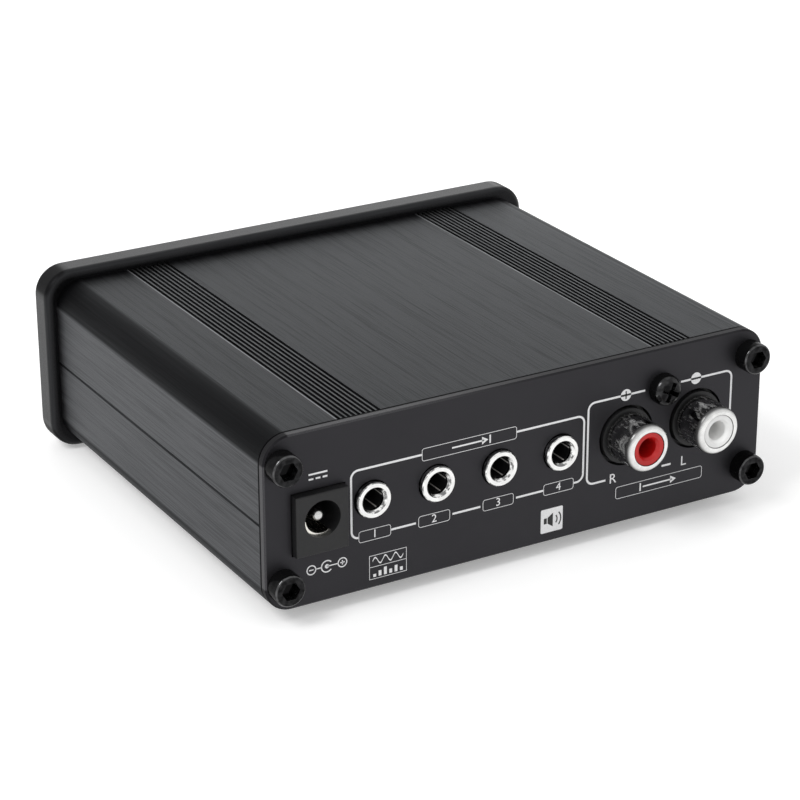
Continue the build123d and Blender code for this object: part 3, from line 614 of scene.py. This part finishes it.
def lacquered_board():
    """Green lacquer over glass cloth."""
    finish = Finish("lacquered_board", (0.012, 0.09, 0.04))
    weave = finish.noise((0.5 * MM, 0.5 * MM, 3 * MM), 1.0)
    tracks = finish.spread(finish.noise((1.2 * MM, 7 * MM, 9 * MM), 0.0), 0.45, 0.55)
    tone = tracks * 0.7 + weave * 0.3
    finish.set("Base Color", finish.blend(tone, (0.008, 0.065, 0.03), (0.02, 0.13, 0.055)))
    finish.set("Roughness", 0.3 + 0.12 * weave)
    finish.bump(tracks, 0.03 * MM, 0.4)
    return finish.material


def tinted_lens():
    """Tinted clear lens of the light, milky inside."""
    finish = Finish("tinted_lens", (0.10, 0.26, 0.62), transmission_weight=0.55, ior=1.5)
    milk = finish.noise(0.8 * MM, 2.0)
    finish.set("Base Color", finish.blend(milk, (0.07, 0.2, 0.55), (0.2, 0.42, 0.78)))
    finish.set("Roughness", 0.12 + 0.08 * milk)
    return finish.material


def screen_ink(name, colour):
    """Screen-printed ink, a little uneven."""
    finish = Finish(name, colour)
    film = finish.noise(0.25 * MM, 3.0, 0.6)
    finish.set("Base Color", finish.vary(film, colour, 0.93, 1.04))
    finish.set("Roughness", 0.5 + 0.12 * film)
    finish.bump(film, 0.006 * MM, 0.3)
    return finish.material


def dress(material, *nodes):
    """Gives CAD nodes their finish."""
    for node in nodes:
        for slot in frame["nodes"][node].material_slots:
            slot.material = material


# Flat shapes, drawn in X and Y


def sheet(x0, x1, y0, y1):
    """Rectangle between two corners."""
    shape = bmesh.new()
    centre = Matrix.Translation(((x0 + x1) / 2, (y0 + y1) / 2, 0))
    place = centre @ Matrix.Diagonal((x1 - x0, y1 - y0, 1, 1))
    bmesh.ops.create_grid(shape, x_segments=1, y_segments=1, size=0.5, matrix=place)
    return shape


def dash(x, y, half, stroke):
    """Level line of that width, centred on a point."""
    return sheet(x - half, x + half, y - stroke / 2, y + stroke / 2)


def post(x, y, half, stroke):
    """Upright line of that width, centred on a point."""
    return sheet(x - stroke / 2, x + stroke / 2, y - half, y + half)


def round_corners(shape, radius):
    """Rounds the corners of a flat shape."""
    bmesh.ops.bevel(
        shape,
        geom=shape.verts[:],
        offset=radius,
        offset_type="OFFSET",
        segments=8,
        profile=0.5,
        affect="VERTICES",
        material=-1,
    )
    return shape


def outline(shape, stroke):
    """Leaves only a line of that width along a shape's edge."""
    inner = shape.faces[:]
    bmesh.ops.inset_region(shape, faces=inner, thickness=stroke, use_even_offset=True, use_boundary=True)
    bmesh.ops.delete(shape, geom=inner, context="FACES")
    return shape


def rounded_frame(x0, x1, y0, y1, corner, stroke):
    """Line of that width round a rectangle with rounded corners."""
    return outline(round_corners(sheet(x0, x1, y0, y1), corner), stroke)


def clear(shape, x0, x1, y0, y1):
    """Cuts a rectangle out of a flat shape."""
    upright = [((x, 0, 0), (1, 0, 0)) for x in (x0, x1)]
    level = [((0, y, 0), (0, 1, 0)) for y in (y0, y1)]
    for point, normal in upright + level:
        everything = shape.verts[:] + shape.edges[:] + shape.faces[:]
        bmesh.ops.bisect_plane(shape, geom=everything, dist=0.001 * MM, plane_co=point, plane_no=normal)
    centres = [(face, face.calc_center_bounds()) for face in shape.faces]
    inside = [face for face, centre in centres if x0 < centre.x < x1 and y0 < centre.y < y1]
    bmesh.ops.delete(shape, geom=inside, context="FACES")
    return shape


def gap(line, x0, x1, y):
    """Cuts a gap in a frame's level line."""
    reach = 1 * MM
    return clear(line, x0, x1, y - reach, y + reach)


def disc(x, y, radius, corners=40):
    """Filled circle, or a regular polygon with few corners."""
    shape = bmesh.new()
    place = Matrix.Translation((x, y, 0))
    bmesh.ops.create_circle(shape, cap_ends=True, segments=corners, radius=radius, matrix=place)
    return shape


def arc(x, y, radius, stroke, start, sweep):
    """Line of that width along part of a circle. Angles run clockwise from the top."""
    fewest, per_turn = 6, 48
    shape = bmesh.new()
    ends = [shape.verts.new((x, y + radius + side * stroke / 2, 0)) for side in (-1, 1)]
    edge = shape.edges.new(ends)
    centre = Vector((x, y, 0))
    bmesh.ops.rotate(shape, verts=ends, cent=centre, matrix=Matrix.Rotation(-start, 3, "Z"))
    steps = max(fewest, round(per_turn * sweep / math.tau))
    full = math.isclose(sweep, math.tau)
    bmesh.ops.spin(
        shape, geom=[*ends, edge], cent=centre, axis=(0, 0, 1), angle=-sweep, steps=steps, use_merge=full
    )
    return shape


def bar(x0, y0, x1, y1, stroke):
    """Straight line of that width between two points."""
    run = Vector((x1 - x0, y1 - y0))
    shape = sheet(0, run.length, -stroke / 2, stroke / 2)
    turn = Matrix.Rotation(math.atan2(run.y, run.x), 4, "Z")
    bmesh.ops.transform(shape, matrix=Matrix.Translation((x0, y0, 0)) @ turn, verts=shape.verts[:])
    return shape


def arrow(x0, x1, head_x, y, radius, stroke):
    """Line to the right from x0 to x1, and a triangle about head_x at its end."""
    head = disc(0, 0, radius, corners=3)
    turn = Matrix.Rotation(-math.pi / 2, 4, "Z")
    bmesh.ops.transform(head, matrix=Matrix.Translation((head_x, y, 0)) @ turn, verts=head.verts[:])
    return bar(x0, y, x1, y, stroke), head


def wave(x0, x1, y, height, stroke, periods):
    """Sine line."""
    shape = bmesh.new()
    place = Matrix.Translation(((x0 + x1) / 2, y, 0)) @ Matrix.Diagonal((x1 - x0, stroke, 1, 1))
    bmesh.ops.create_grid(shape, x_segments=16 * periods, y_segments=1, size=0.5, matrix=place)
    for vert in shape.verts:
        vert.co.y += height / 2 * math.sin(math.tau * periods * (vert.co.x - x0) / (x1 - x0))
    return shape


def lettering(text, x, y, height):
    """A number or a letter, in Blender's own plain type."""
    capital = 0.73
    curve = bpy.data.curves.new("lettering", "FONT")
    curve.body = text
    curve.size = height / capital
    curve.align_x = "CENTER"
    curve.align_y = "CENTER"
    curve.resolution_u = 6
    text_object = bpy.data.objects.new("lettering", curve)
    bpy.context.scene.collection.objects.link(text_object)
    graph = bpy.context.evaluated_depsgraph_get()
    mesh = bpy.data.meshes.new_from_object(text_object.evaluated_get(graph))
    shape = bmesh.new()
    shape.from_mesh(mesh)
    bmesh.ops.translate(shape, verts=shape.verts[:], vec=(x, y, 0))
    bpy.data.objects.remove(text_object)
    bpy.data.curves.remove(curve)
    bpy.data.meshes.remove(mesh)
    return shape


class Print:
    """Flat marks on one face, which become a thin film of ink."""

    def __init__(self):
        self.marks = bmesh.new()

    def add(self, *shapes):
        """Adds flat shapes to the marks."""
        for shape in shapes:
            mesh = bpy.data.meshes.new("mark")
            shape.to_mesh(mesh)
            shape.free()
            self.marks.from_mesh(mesh)
            bpy.data.meshes.remove(mesh)

    def place(self, name, face, thickness, material, body="case", base=0.0, slot="white_plastic"):
        """Raises the marks on a face of the box, from just under its surface or from a base above it."""
        marks = self.marks
        raised = bmesh.ops.extrude_face_region(marks, geom=marks.faces[:], use_keep_orig=True)["geom"]
        tops = [part for part in raised if isinstance(part, bmesh.types.BMVert)]
        sunk = 0.005 * MM
        bmesh.ops.translate(marks, verts=tops, vec=(0, 0, thickness + sunk))
        bmesh.ops.translate(marks, verts=marks.verts[:], vec=(0, 0, base - sunk))
        bmesh.ops.recalc_face_normals(marks, faces=marks.faces[:])
        bmesh.ops.transform(marks, matrix=face, verts=marks.verts[:])
        return piece(name, marks, material, body)


def mesh_object(name, shape, material):
    """An object made of a finished shape."""
    mesh = bpy.data.meshes.new(name)
    shape.to_mesh(mesh)
    shape.free()
    mesh.materials.append(material)
    made = bpy.data.objects.new(name, mesh)
    bpy.context.scene.collection.objects.link(made)
    return made


def piece(name, shape, material, body):
    """A finished piece that rides on a body."""
    made = mesh_object(name, shape, material)
    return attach(made, body)


# Operators


class CaseFinish(bpy.types.Operator):
    """Finish the shells, the plates, the feet and the screws"""

    bl_idname = "switchbox.case_finish"
    bl_label = "Case finish"

    def execute(self, context):
        case = context.scene.switchbox_case
        dress(brushed_shell(case), "upper_shell", "lower_shell")
        dress(matt_plate(case), "rear_plate")
        dress(satin_panel(case), "front_panel")
        # Each number sets how strong the painted highlight on those screws' rims is.
        screws = {"rear_plate_screws": 1.0, "front_panel_screws": 0.5}
        for node, rim_glint in screws.items():
            dress(black_oxide(node, case.screw_head, rim_glint), node)
        dress(black_oxide("phono_screw", rim_glint=0.35), "phono_screw")
        dress(soft_rubber(), "rubber_feet")
        return {"FINISHED"}


class SocketFinish(bpy.types.Operator):
    """Finish the input, output, phono and power sockets"""

    bl_idname = "switchbox.socket_finish"
    bl_label = "Socket finish"

    def execute(self, context):
        names = [*INPUT_NAMES, "output_socket"]
        dress(bright_nickel(), *[f"{name}_bushing" for name in names])
        dress(plated("pin_nickel", (0.60, 0.60, 0.59), 0.14), "dc_socket_pin")
        black = moulded("black_housing", (0.009, 0.009, 0.0096), 0.42, grain=0.35, gloss=0.36)
        dress(black, *[f"{name}_housing" for name in names], "phono_housing", "dc_socket_housing")
        bronze = (0.80, 0.78, 0.72)
        contact = plated("plated_contact", bronze, 0.2)
        dress(contact, *[f"{name}_contacts" for name in names], "phono_contact_right", "phono_contact_left")
        dress(plated("smooth_contact", bronze, 0.16, relief=0.04), "dc_socket_spring")
        dress(barrel_nickel(), "phono_barrel_right", "phono_barrel_left")
        # The last number in each sets the painted shade in the insulator's crevice.
        red = ("red", (0.50, 0.008, 0.008), 0.06)
        white = ("white", (0.92, 0.92, 0.91), 0.4)
        insulators = {"right": red, "left": white}
        for side, (name, colour, tone) in insulators.items():
            node = f"phono_insulator_{side}"
            crevice_shade = (node, 2.85 * MM, tone)
            dress(moulded(f"{name}_insulator", colour, 0.28, gloss=0.4, crevice_shade=crevice_shade), node)
        return {"FINISHED"}


class ControlFinish(bpy.types.Operator):
    """Finish the knobs, the power button, the light and what carries them"""

    bl_idname = "switchbox.control_finish"
    bl_label = "Control finish"

    def execute(self, context):
        for node in ("selector_knob", "volume_knob"):
            dress(turned_black(f"turned_{node}", (0.034, 0.034, 0.036), node), node)
        steel = plated("turned_steel", (0.56, 0.56, 0.55), 0.25)
        for name in ("selector", "volume"):
            dress(steel, f"{name}_shaft", f"{name}_bushing", f"{name}_nut")
        for node in ("selector_grub_screw", "volume_grub_screw"):
            dress(black_oxide(node), node)
        dress(steel, "volume_pot_body", "power_spring")
        dress(moulded("switch_body", (0.025, 0.025, 0.026), 0.5), "selector_switch_body", "power_switch_body")
        dress(moulded("power_button", (0.03, 0.03, 0.031), 0.34), "power_button")
        dress(moulded("white_plunger", (0.76, 0.76, 0.74), 0.4), "power_plunger")
        dress(tinted_lens(), "power_led")
        dress(plated("tinned_lead", (0.68, 0.68, 0.67), 0.3), "power_led_leads")
        return {"FINISHED"}


class BoardFinish(bpy.types.Operator):
    """Finish the circuit board and the parts on it"""

    bl_idname = "switchbox.board_finish"
    bl_label = "Board finish"

    def execute(self, context):
        dress(lacquered_board(), "main_board")
        dress(moulded("relay_case", (0.72, 0.68, 0.58), 0.4), "relays")
        resin = moulded("chip_resin", (0.02, 0.02, 0.021), 0.5, grain=0.3)
        dress(resin, "amplifier_chips", "voltage_regulator")
        dress(moulded("capacitor_sleeve", (0.02, 0.035, 0.12), 0.25), "electrolytic_capacitors")
        dress(moulded("film_case", (0.62, 0.42, 0.06), 0.3), "film_capacitors")
        return {"FINISHED"}


class RearPrint(bpy.types.Operator):
    """Print the frames, numbers and signs on the rear plate"""

    bl_idname = "switchbox.rear_print"
    bl_label = "Rear print"

    def execute(self, context):
        sizes = context.scene.switchbox_print
        white = Print()
        dark = Print()
        self.input_frame(white, sizes)
        self.output_frame(white, dark, sizes)
        self.current_sign(white)
        self.polarity_sign(white)
        self.level_sign(white, sizes)
        self.loudspeaker_sign(white, dark)
        film = sizes.ink_thickness
        ink = screen_ink("white_ink", sizes.ink_colour)
        white.place("rear_print", REAR_FACE, film, ink)
        coat = screen_ink("dark_ink", context.scene.switchbox_case.plate_colour)
        dark.place("rear_print_dark", REAR_FACE, film / 2, coat, base=film)
        return {"FINISHED"}

    def height(self, millimetres):
        """Height above the plate's lower edge."""
        return PLATE_LOW.z + millimetres * MM

    def input_frame(self, white, sizes):
        """Frame round the inputs, broken by a label at the top and by a number under each socket."""
        left = INPUTS[0].x - 3.75 * MM
        right = INPUTS[-1].x + 4.7 * MM
        low = self.height(9.05)
        high = self.height(20.75)
        line = rounded_frame(left, right, low, high, sizes.frame_corner, sizes.stroke)
        label_x = (left + right) / 2 - 0.1 * MM
        label_half = 8.6 * MM
        gap(line, label_x - label_half, label_x + label_half, high)
        self.arrow_label(white, sizes, label_x, self.height(20.5), label_half, inwards=True)
        box_half = 2.85 * MM
        box_low = self.height(8.25)
        box_high = self.height(10.2)
        box_middle = (box_low + box_high) / 2
        shifts = (0.5, -0.3, 0.0, -0.1)
        margins = (0.05, 0.45, 0.45, 0.05)
        for number, (place, shift, margin) in enumerate(zip(INPUTS, shifts, margins), 1):
            x = place.x + shift * MM
            cut_half = box_half + margin * MM
            gap(line, x - cut_half, x + cut_half, low)
            ends = (x - box_half, x + box_half)
            white.add(rounded_frame(*ends, box_low, box_high, sizes.label_corner, sizes.hairline))
            white.add(lettering(str(number), x, box_middle, sizes.digit))
        white.add(line)

    def arrow_label(self, white, sizes, x, y, half, inwards):
        """Hairline label that holds an arrow to or from a bar."""
        tall = 1.08 * MM
        white.add(rounded_frame(x - half, x + half, y - tall, y + tall, sizes.label_corner, sizes.hairline))
        reach = 3.2 * MM
        head_x = x + reach - 0.6 * MM
        white.add(*arrow(x - reach, head_x, head_x, y, 0.75 * MM, sizes.sign_stroke))
        wall = reach + 0.5 * MM
        wall_half = 0.7 * MM
        white.add(post(x + wall if inwards else x - wall, y, wall_half, sizes.sign_stroke))

    def output_frame(self, white, dark, sizes):
        """Frame round the phono sockets, with a plus and a minus disc, and gaps for the screw and letters."""
        left = 11.8 * MM
        right = 40.1 * MM
        low = self.height(8.05)
        high = self.height(22.55)
        line = rounded_frame(left, right, low, high, sizes.frame_corner, sizes.stroke)
        screw = on_rear("phono_screw").x
        gap(line, screw - 3.4 * MM, screw + 3.6 * MM, high)
        under_right = (15.6 * MM, 26.6 * MM)
        under_left = (28.4 * MM, right)
        for ends in (under_right, under_left):
            gap(line, *ends, low)
        corner_top = self.height(11.5)
        clear(line, right - sizes.frame_corner, right + MM, low - MM, corner_top)
        white.add(line)
        plus = PHONO_RIGHT.x - 0.3 * MM
        minus = PHONO_LEFT.x - 0.2 * MM
        y = high - sizes.stroke / 2
        arm = 0.68 * MM
        stroke = 0.24 * MM
        for x in (plus, minus):
            white.add(disc(x, y, 1.0 * MM))
            dark.add(dash(x, y, arm, stroke))
        dark.add(post(plus, y, arm, stroke))
        line_middle = low + 0.1 * MM
        white.add(lettering("R", PHONO_RIGHT.x - 2.4 * MM, line_middle, sizes.letter))
        white.add(lettering("L", PHONO_LEFT.x - 2.1 * MM, line_middle, sizes.letter))
        label_x = (PHONO_RIGHT.x + PHONO_LEFT.x) / 2
        label_half = 8.55 * MM
        self.arrow_label(white, sizes, label_x, self.height(5.4), label_half, inwards=False)

    def current_sign(self, white):
        """Direct-current sign above the power socket: a line over three dashes."""
        x = on_rear("dc_socket_housing").x
        line_y = self.height(21.75)
        dash_y = self.height(20.95)
        stroke = 0.28 * MM
        half = 0.4 * MM
        pitch = 3 * half
        white.add(dash(x, line_y, pitch + half, stroke))
        for step in (-1, 0, 1):
            white.add(dash(x + step * pitch, dash_y, half, stroke))

    def polarity_sign(self, white):
        """Polarity of the power plug, under its socket: the pin is plus, the cup round it is minus."""
        x = on_rear("dc_socket_housing").x + 1.3 * MM
        y = self.height(5.8)
        arm = 2.7 * MM
        ring = 0.75 * MM
        cup = 0.95 * MM
        half = 0.38 * MM
        stroke = 0.18 * MM
        for centre in (x - arm, x + arm):
            white.add(arc(centre, y, ring, stroke, 0, math.tau), dash(centre, y, half, stroke))
        white.add(post(x + arm, y, half, stroke))
        white.add(bar(x - arm + ring, y, x - cup, y, stroke))
        white.add(bar(x, y, x + arm - ring, y, stroke))
        white.add(disc(x, y, 0.36 * MM))
        white.add(arc(x, y, cup, 0.2 * MM, math.radians(130), math.radians(280)))

    def level_sign(self, white, sizes):
        """A wave over level bars, in a double box."""
        left = -28.05 * MM
        right = -21.4 * MM
        low = self.height(1.5)
        split = self.height(3.6)
        high = self.height(5.6)
        white.add(outline(sheet(left, right, low, high), sizes.hairline))
        white.add(bar(left, split, right, split, sizes.hairline))
        margin = 0.6 * MM
        ends = (left + margin, right - margin)
        white.add(wave(*ends, (split + high) / 2, height=1.1 * MM, stroke=0.24 * MM, periods=3))
        pitch = 0.95 * MM
        half = 0.25 * MM
        foot = low + 0.35 * MM
        for step, level in enumerate((0.5, 0.9, 1.3, 0.7, 1.1, 0.6), 1):
            x = left + step * pitch
            white.add(sheet(x - half, x + half, foot, foot + level * MM))

    def loudspeaker_sign(self, white, dark):
        """White square with a dark loudspeaker on it."""
        x = 5.42 * MM
        y = self.height(3.7)
        side = 4.15 * MM
        white.add(round_corners(sheet(x - side / 2, x + side / 2, y - side / 2, y + side / 2), 0.25 * MM))
        half = 0.5 * MM
        mouth = 1.2 * MM
        cone = sheet(x - 0.8 * MM, x + 0.2 * MM, y - half, y + half)
        for vert in cone.verts:
            if vert.co.x > x:
                vert.co.y = y + math.copysign(mouth, vert.co.y - y)
        dark.add(sheet(x - 1.5 * MM, x - 0.95 * MM, y - half, y + half), cone)
        for radius in (1.0, 1.7):
            dark.add(arc(x, y, radius * MM, 0.22 * MM, math.radians(50), math.radians(80)))


class ContactEdges(bpy.types.Operator):
    """Lay the bright edges of the contact springs along the bores of the inputs"""

    bl_idname = "switchbox.contact_edges"
    bl_label = "Contact edges"

    def execute(self, context):
        _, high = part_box("input_socket_1_bushing")
        radius = 1.77 * MM
        stroke = 0.06 * MM
        sweep = math.radians(6)
        edges = Print()
        for place in INPUTS:
            for turn in (80, 154):
                edges.add(arc(place.x, place.y, radius, stroke, math.radians(turn) - sweep / 2, sweep))
        depth = 3.4 * MM
        behind_rim = 1.05 * MM
        base = high.y - PLATE_HIGH.y - behind_rim - depth
        bright = moulded("contact_edge", (0.62, 0.61, 0.58), 0.35)
        edges.place("input_contact_edges", REAR_FACE, depth, bright, base=base, slot="contact_metal")
        return {"FINISHED"}


class FrontPrint(bpy.types.Operator):
    """Print the scales and signs on the front panel"""

    bl_idname = "switchbox.front_print"
    bl_label = "Front print"

    def execute(self, context):
        sizes = context.scene.switchbox_print
        dial = context.scene.switchbox_dial
        white = Print()
        self.scale(white, dial, "selector_knob", dial.selector_angle, dial.selector_sweep, "1234")
        self.scale(white, dial, "volume_knob", -dial.volume_sweep / 2, dial.volume_sweep, "0123456789")
        self.power_sign(white, sizes)
        self.output_sign(white, sizes)
        ink = screen_ink("front_ink", sizes.ink_colour)
        white.place("front_print", FRONT_FACE, sizes.ink_thickness, ink)
        return {"FINISHED"}

    def scale(self, white, dial, knob, start, sweep, numbers):
        """Ticks and numbers round a knob."""
        low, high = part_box(knob)
        centre = middle(knob).xz
        inner = (high.x - low.x) / 2 + dial.tick_gap
        outer = inner + dial.tick_length
        reach = outer + dial.digit_gap
        for step, number in enumerate(numbers):
            turn = start + sweep * step / (len(numbers) - 1)
            out = Vector((math.sin(turn), math.cos(turn)))
            white.add(bar(*(centre + inner * out), *(centre + outer * out), dial.tick_width))
            white.add(lettering(number, *(centre + reach * out), dial.digit))

    def power_sign(self, white, sizes):
        """Broken ring with a bar, over the power button."""
        x, y = middle("power_button").xz
        y += sizes.sign_rise
        white.add(arc(x, y, 1.1 * MM, sizes.sign_stroke, math.radians(40), math.radians(280)))
        white.add(post(x, y + 0.75 * MM, 0.65 * MM, sizes.sign_stroke))

    def output_sign(self, white, sizes):
        """Arrow away from a bar, over the front output."""
        x, y = middle("output_socket_bushing").xz
        y += sizes.sign_rise
        white.add(post(x - 1.8 * MM, y, 0.9 * MM, sizes.sign_stroke))
        white.add(*arrow(x - 1.2 * MM, x + 0.9 * MM, x + 1.2 * MM, y, 0.8 * MM, sizes.sign_stroke))


class KnobPointers(bpy.types.Operator):
    """Fill the pointers of both knobs with white paint"""

    bl_idname = "switchbox.knob_pointers"
    bl_label = "Knob pointers"

    def execute(self, context):
        dial = context.scene.switchbox_dial
        paint = screen_ink("pointer_paint", context.scene.switchbox_print.ink_colour)
        self.fill("selector", dial, dial.selector_angle, paint)
        self.fill("volume", dial, 0.0, paint)
        return {"FINISHED"}

    def fill(self, name, dial, turn, paint):
        """Paint in one pointer, which rides on its knob."""
        low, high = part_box(f"{name}_knob")
        centre = middle(f"{name}_knob")
        chamfer = 0.9 * MM
        film = 0.1 * MM
        half = dial.pointer_width / 2
        end = (high.x - low.x) / 2 - chamfer
        line = Print()
        line.add(round_corners(sheet(-half, half, dial.pointer_start, end), 0.15 * MM))
        place = Matrix.Translation((centre.x, low.y + dial.pointer_depth, centre.z))
        face = place @ Matrix.Rotation(math.pi / 2, 4, "X") @ Matrix.Rotation(-turn, 4, "Z")
        line.place(f"{name}_pointer_paint", face, film, paint, name, base=-film)


class ReturnSpring(bpy.types.Operator):
    """Wind the return spring at rest, in place of the CAD spring; it is not made to shorten as the power
    button goes in
    """

    bl_idname = "switchbox.return_spring"
    bl_label = "Return spring"

    def execute(self, context):
        spring = context.scene.switchbox_spring
        low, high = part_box("power_spring")
        centre = middle("power_spring")
        start = Vector((high.x - spring.wire, low.y + spring.wire, centre.z))
        rise = high.y - low.y - 2 * spring.wire
        per_turn = 32
        steps = round(per_turn * spring.turns)
        coil = bmesh.new()
        bmesh.ops.create_circle(coil, segments=12, radius=spring.wire, matrix=Matrix.Translation(start))
        bmesh.ops.spin(
            coil,
            geom=coil.verts[:] + coil.edges[:],
            cent=centre,
            axis=(0, 1, 0),
            angle=spring.turns * math.tau,
            dvec=(0, rise / steps, 0),
            steps=steps,
        )
        bmesh.ops.holes_fill(coil, edges=[edge for edge in coil.edges if edge.is_boundary])
        bmesh.ops.recalc_face_normals(coil, faces=coil.faces[:])
        steel = plated("spring_steel", (0.56, 0.56, 0.55), 0.25)
        made = piece("power_return_spring", coil, steel, "case")
        joints = {joint["name"]: joint for joint in frame["record"]["behaviour"]["joints"]}
        press = joints["power_press"]
        seat = press["deforming_nodes"][0]["fixed_end_y_m"]
        keep = 1 - press["range_m"][1] / (seat - low.y)
        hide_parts("power_spring")
        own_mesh(made)
        return {"FINISHED"}


class Stage(bpy.types.Operator):
    """Lay the floor and set the light and the camera"""

    bl_idname = "switchbox.stage"
    bl_label = "Stage"

    def execute(self, context):
        scene = context.scene
        stage = scene.switchbox_stage
        self.floor(stage)
        self.sky(scene, stage)
        key_size = (stage.key_size, stage.key_size)
        key_out = self.direction(stage.key_azimuth, stage.key_elevation)
        self.lamp("key_lamp", key_size, stage.key_power, key_out, stage.key_distance)
        strip_size = (stage.strip_width, stage.strip_height)
        strip_out = self.direction(stage.strip_azimuth, stage.strip_elevation)
        self.lamp("strip_lamp", strip_size, stage.strip_power, strip_out, stage.strip_distance)
        self.camera(scene, stage)
        scene.view_settings.view_transform = "Standard"
        return {"FINISHED"}

    def direction(self, azimuth, elevation):
        """From the box towards a place round it. Azimuth 0 is straight in front."""
        flat = math.cos(elevation)
        return Vector((math.sin(azimuth) * flat, -math.cos(azimuth) * flat, math.sin(elevation)))

    def seen(self, graph):
        """1 for what the camera sees, straight, mirrored or through glass."""
        outputs = ("Is Camera Ray", "Is Glossy Ray", "Is Transmission Ray")
        straight, mirrored, through = [graph.node("ShaderNodeLightPath", output=name) for name in outputs]
        return straight | mirrored | through

    def floor(self, stage):
        """Pale floor, which shines a little by itself only where it is seen."""
        finish = Finish("pale_floor", stage.floor_colour, roughness=0.9, emission_strength=1.0)
        lift = (stage.floor_lift, stage.floor_lift, stage.floor_lift)
        finish.set("Emission Color", finish.blend(self.seen(finish), (0, 0, 0), lift))
        half = stage.floor_size / 2
        mesh_object("floor", sheet(-half, half, -half, half), finish.material)

    def sky(self, scene, stage):
        """White background, dimmer as a light than as it is seen."""
        scene.world = bpy.data.worlds.new("sky")
        scene.world.use_nodes = True
        graph = Graph(scene.world.node_tree)
        sky = graph.tree.nodes["Background"]
        graph.feed(sky.inputs["Color"], (1.0, 1.0, 1.0))
        graph.feed(sky.inputs["Strength"], self.seen(graph) * (1 - stage.ambient) + stage.ambient)

    def lamp(self, name, size, watts, out, distance):
        """Soft rectangular lamp that faces the box."""
        light = bpy.data.lights.new(name, "AREA")
        light.shape = "RECTANGLE"
        light.size, light.size_y = size
        light.energy = watts
        lamp = bpy.data.objects.new(name, light)
        lamp.visible_camera = False
        self.stand(lamp, Vector(), out, distance)

    def camera(self, scene, stage):
        """Camera at the photograph's viewing angle."""
        view = bpy.data.cameras.new("camera")
        view.lens = stage.lens
        view.sensor_width = stage.sensor
        scene.camera = bpy.data.objects.new("camera", view)
        out = self.direction(stage.azimuth, stage.elevation)
        self.stand(scene.camera, Vector(stage.aim), out, stage.distance, stage.roll)

    def stand(self, thing, aim, out, distance, roll=0.0):
        """Puts a lamp or the camera at a distance from its aim, facing it."""
        thing.location = aim + out * distance
        thing.rotation_mode = "QUATERNION"
        thing.rotation_quaternion = out.to_track_quat("Z", "Y") @ Quaternion((0, 0, 1), roll)
        bpy.context.scene.collection.objects.link(thing)


class SwitchBoxPanel(bpy.types.Panel):
    """Lists the settings and the steps"""

    bl_idname = "VIEW3D_PT_switchbox"
    bl_label = "Audio switch box"
    bl_space_type = "VIEW_3D"
    bl_region_type = "UI"
    bl_category = "Switch Box"

    def draw(self, context):
        for name, group in GROUPS.items():
            box = self.layout.box()
            for setting in group.__annotations__:
                box.prop(getattr(context.scene, name), setting)
        for step in STEPS:
            self.layout.operator(step.bl_idname)


GROUPS = {
    "switchbox_case": CaseSettings,
    "switchbox_print": PrintSettings,
    "switchbox_dial": DialSettings,
    "switchbox_spring": SpringSettings,
    "switchbox_stage": StageSettings,
}
STEPS = (
    CaseFinish,
    SocketFinish,
    ControlFinish,
    BoardFinish,
    ContactEdges,
    RearPrint,
    FrontPrint,
    KnobPointers,
    ReturnSpring,
    Stage,
)


def register():
    for item in (*GROUPS.values(), *STEPS, SwitchBoxPanel):
        bpy.utils.register_class(item)
    for name, group in GROUPS.items():
        setattr(bpy.types.Scene, name, PointerProperty(type=group))


def unregister():
    for name in GROUPS:
        delattr(bpy.types.Scene, name)
    for item in (SwitchBoxPanel, *reversed(STEPS), *GROUPS.values()):
        bpy.utils.unregister_class(item)


def main():
    register()
    bpy.ops.switchbox.case_finish()
    bpy.ops.switchbox.socket_finish()
    bpy.ops.switchbox.control_finish()
    bpy.ops.switchbox.board_finish()
    bpy.ops.switchbox.contact_edges()
    bpy.ops.switchbox.rear_print()
    bpy.ops.switchbox.front_print()
    bpy.ops.switchbox.knob_pointers()
    bpy.ops.switchbox.return_spring()
    bpy.ops.switchbox.stage()


if __name__ == "__main__":
    main()
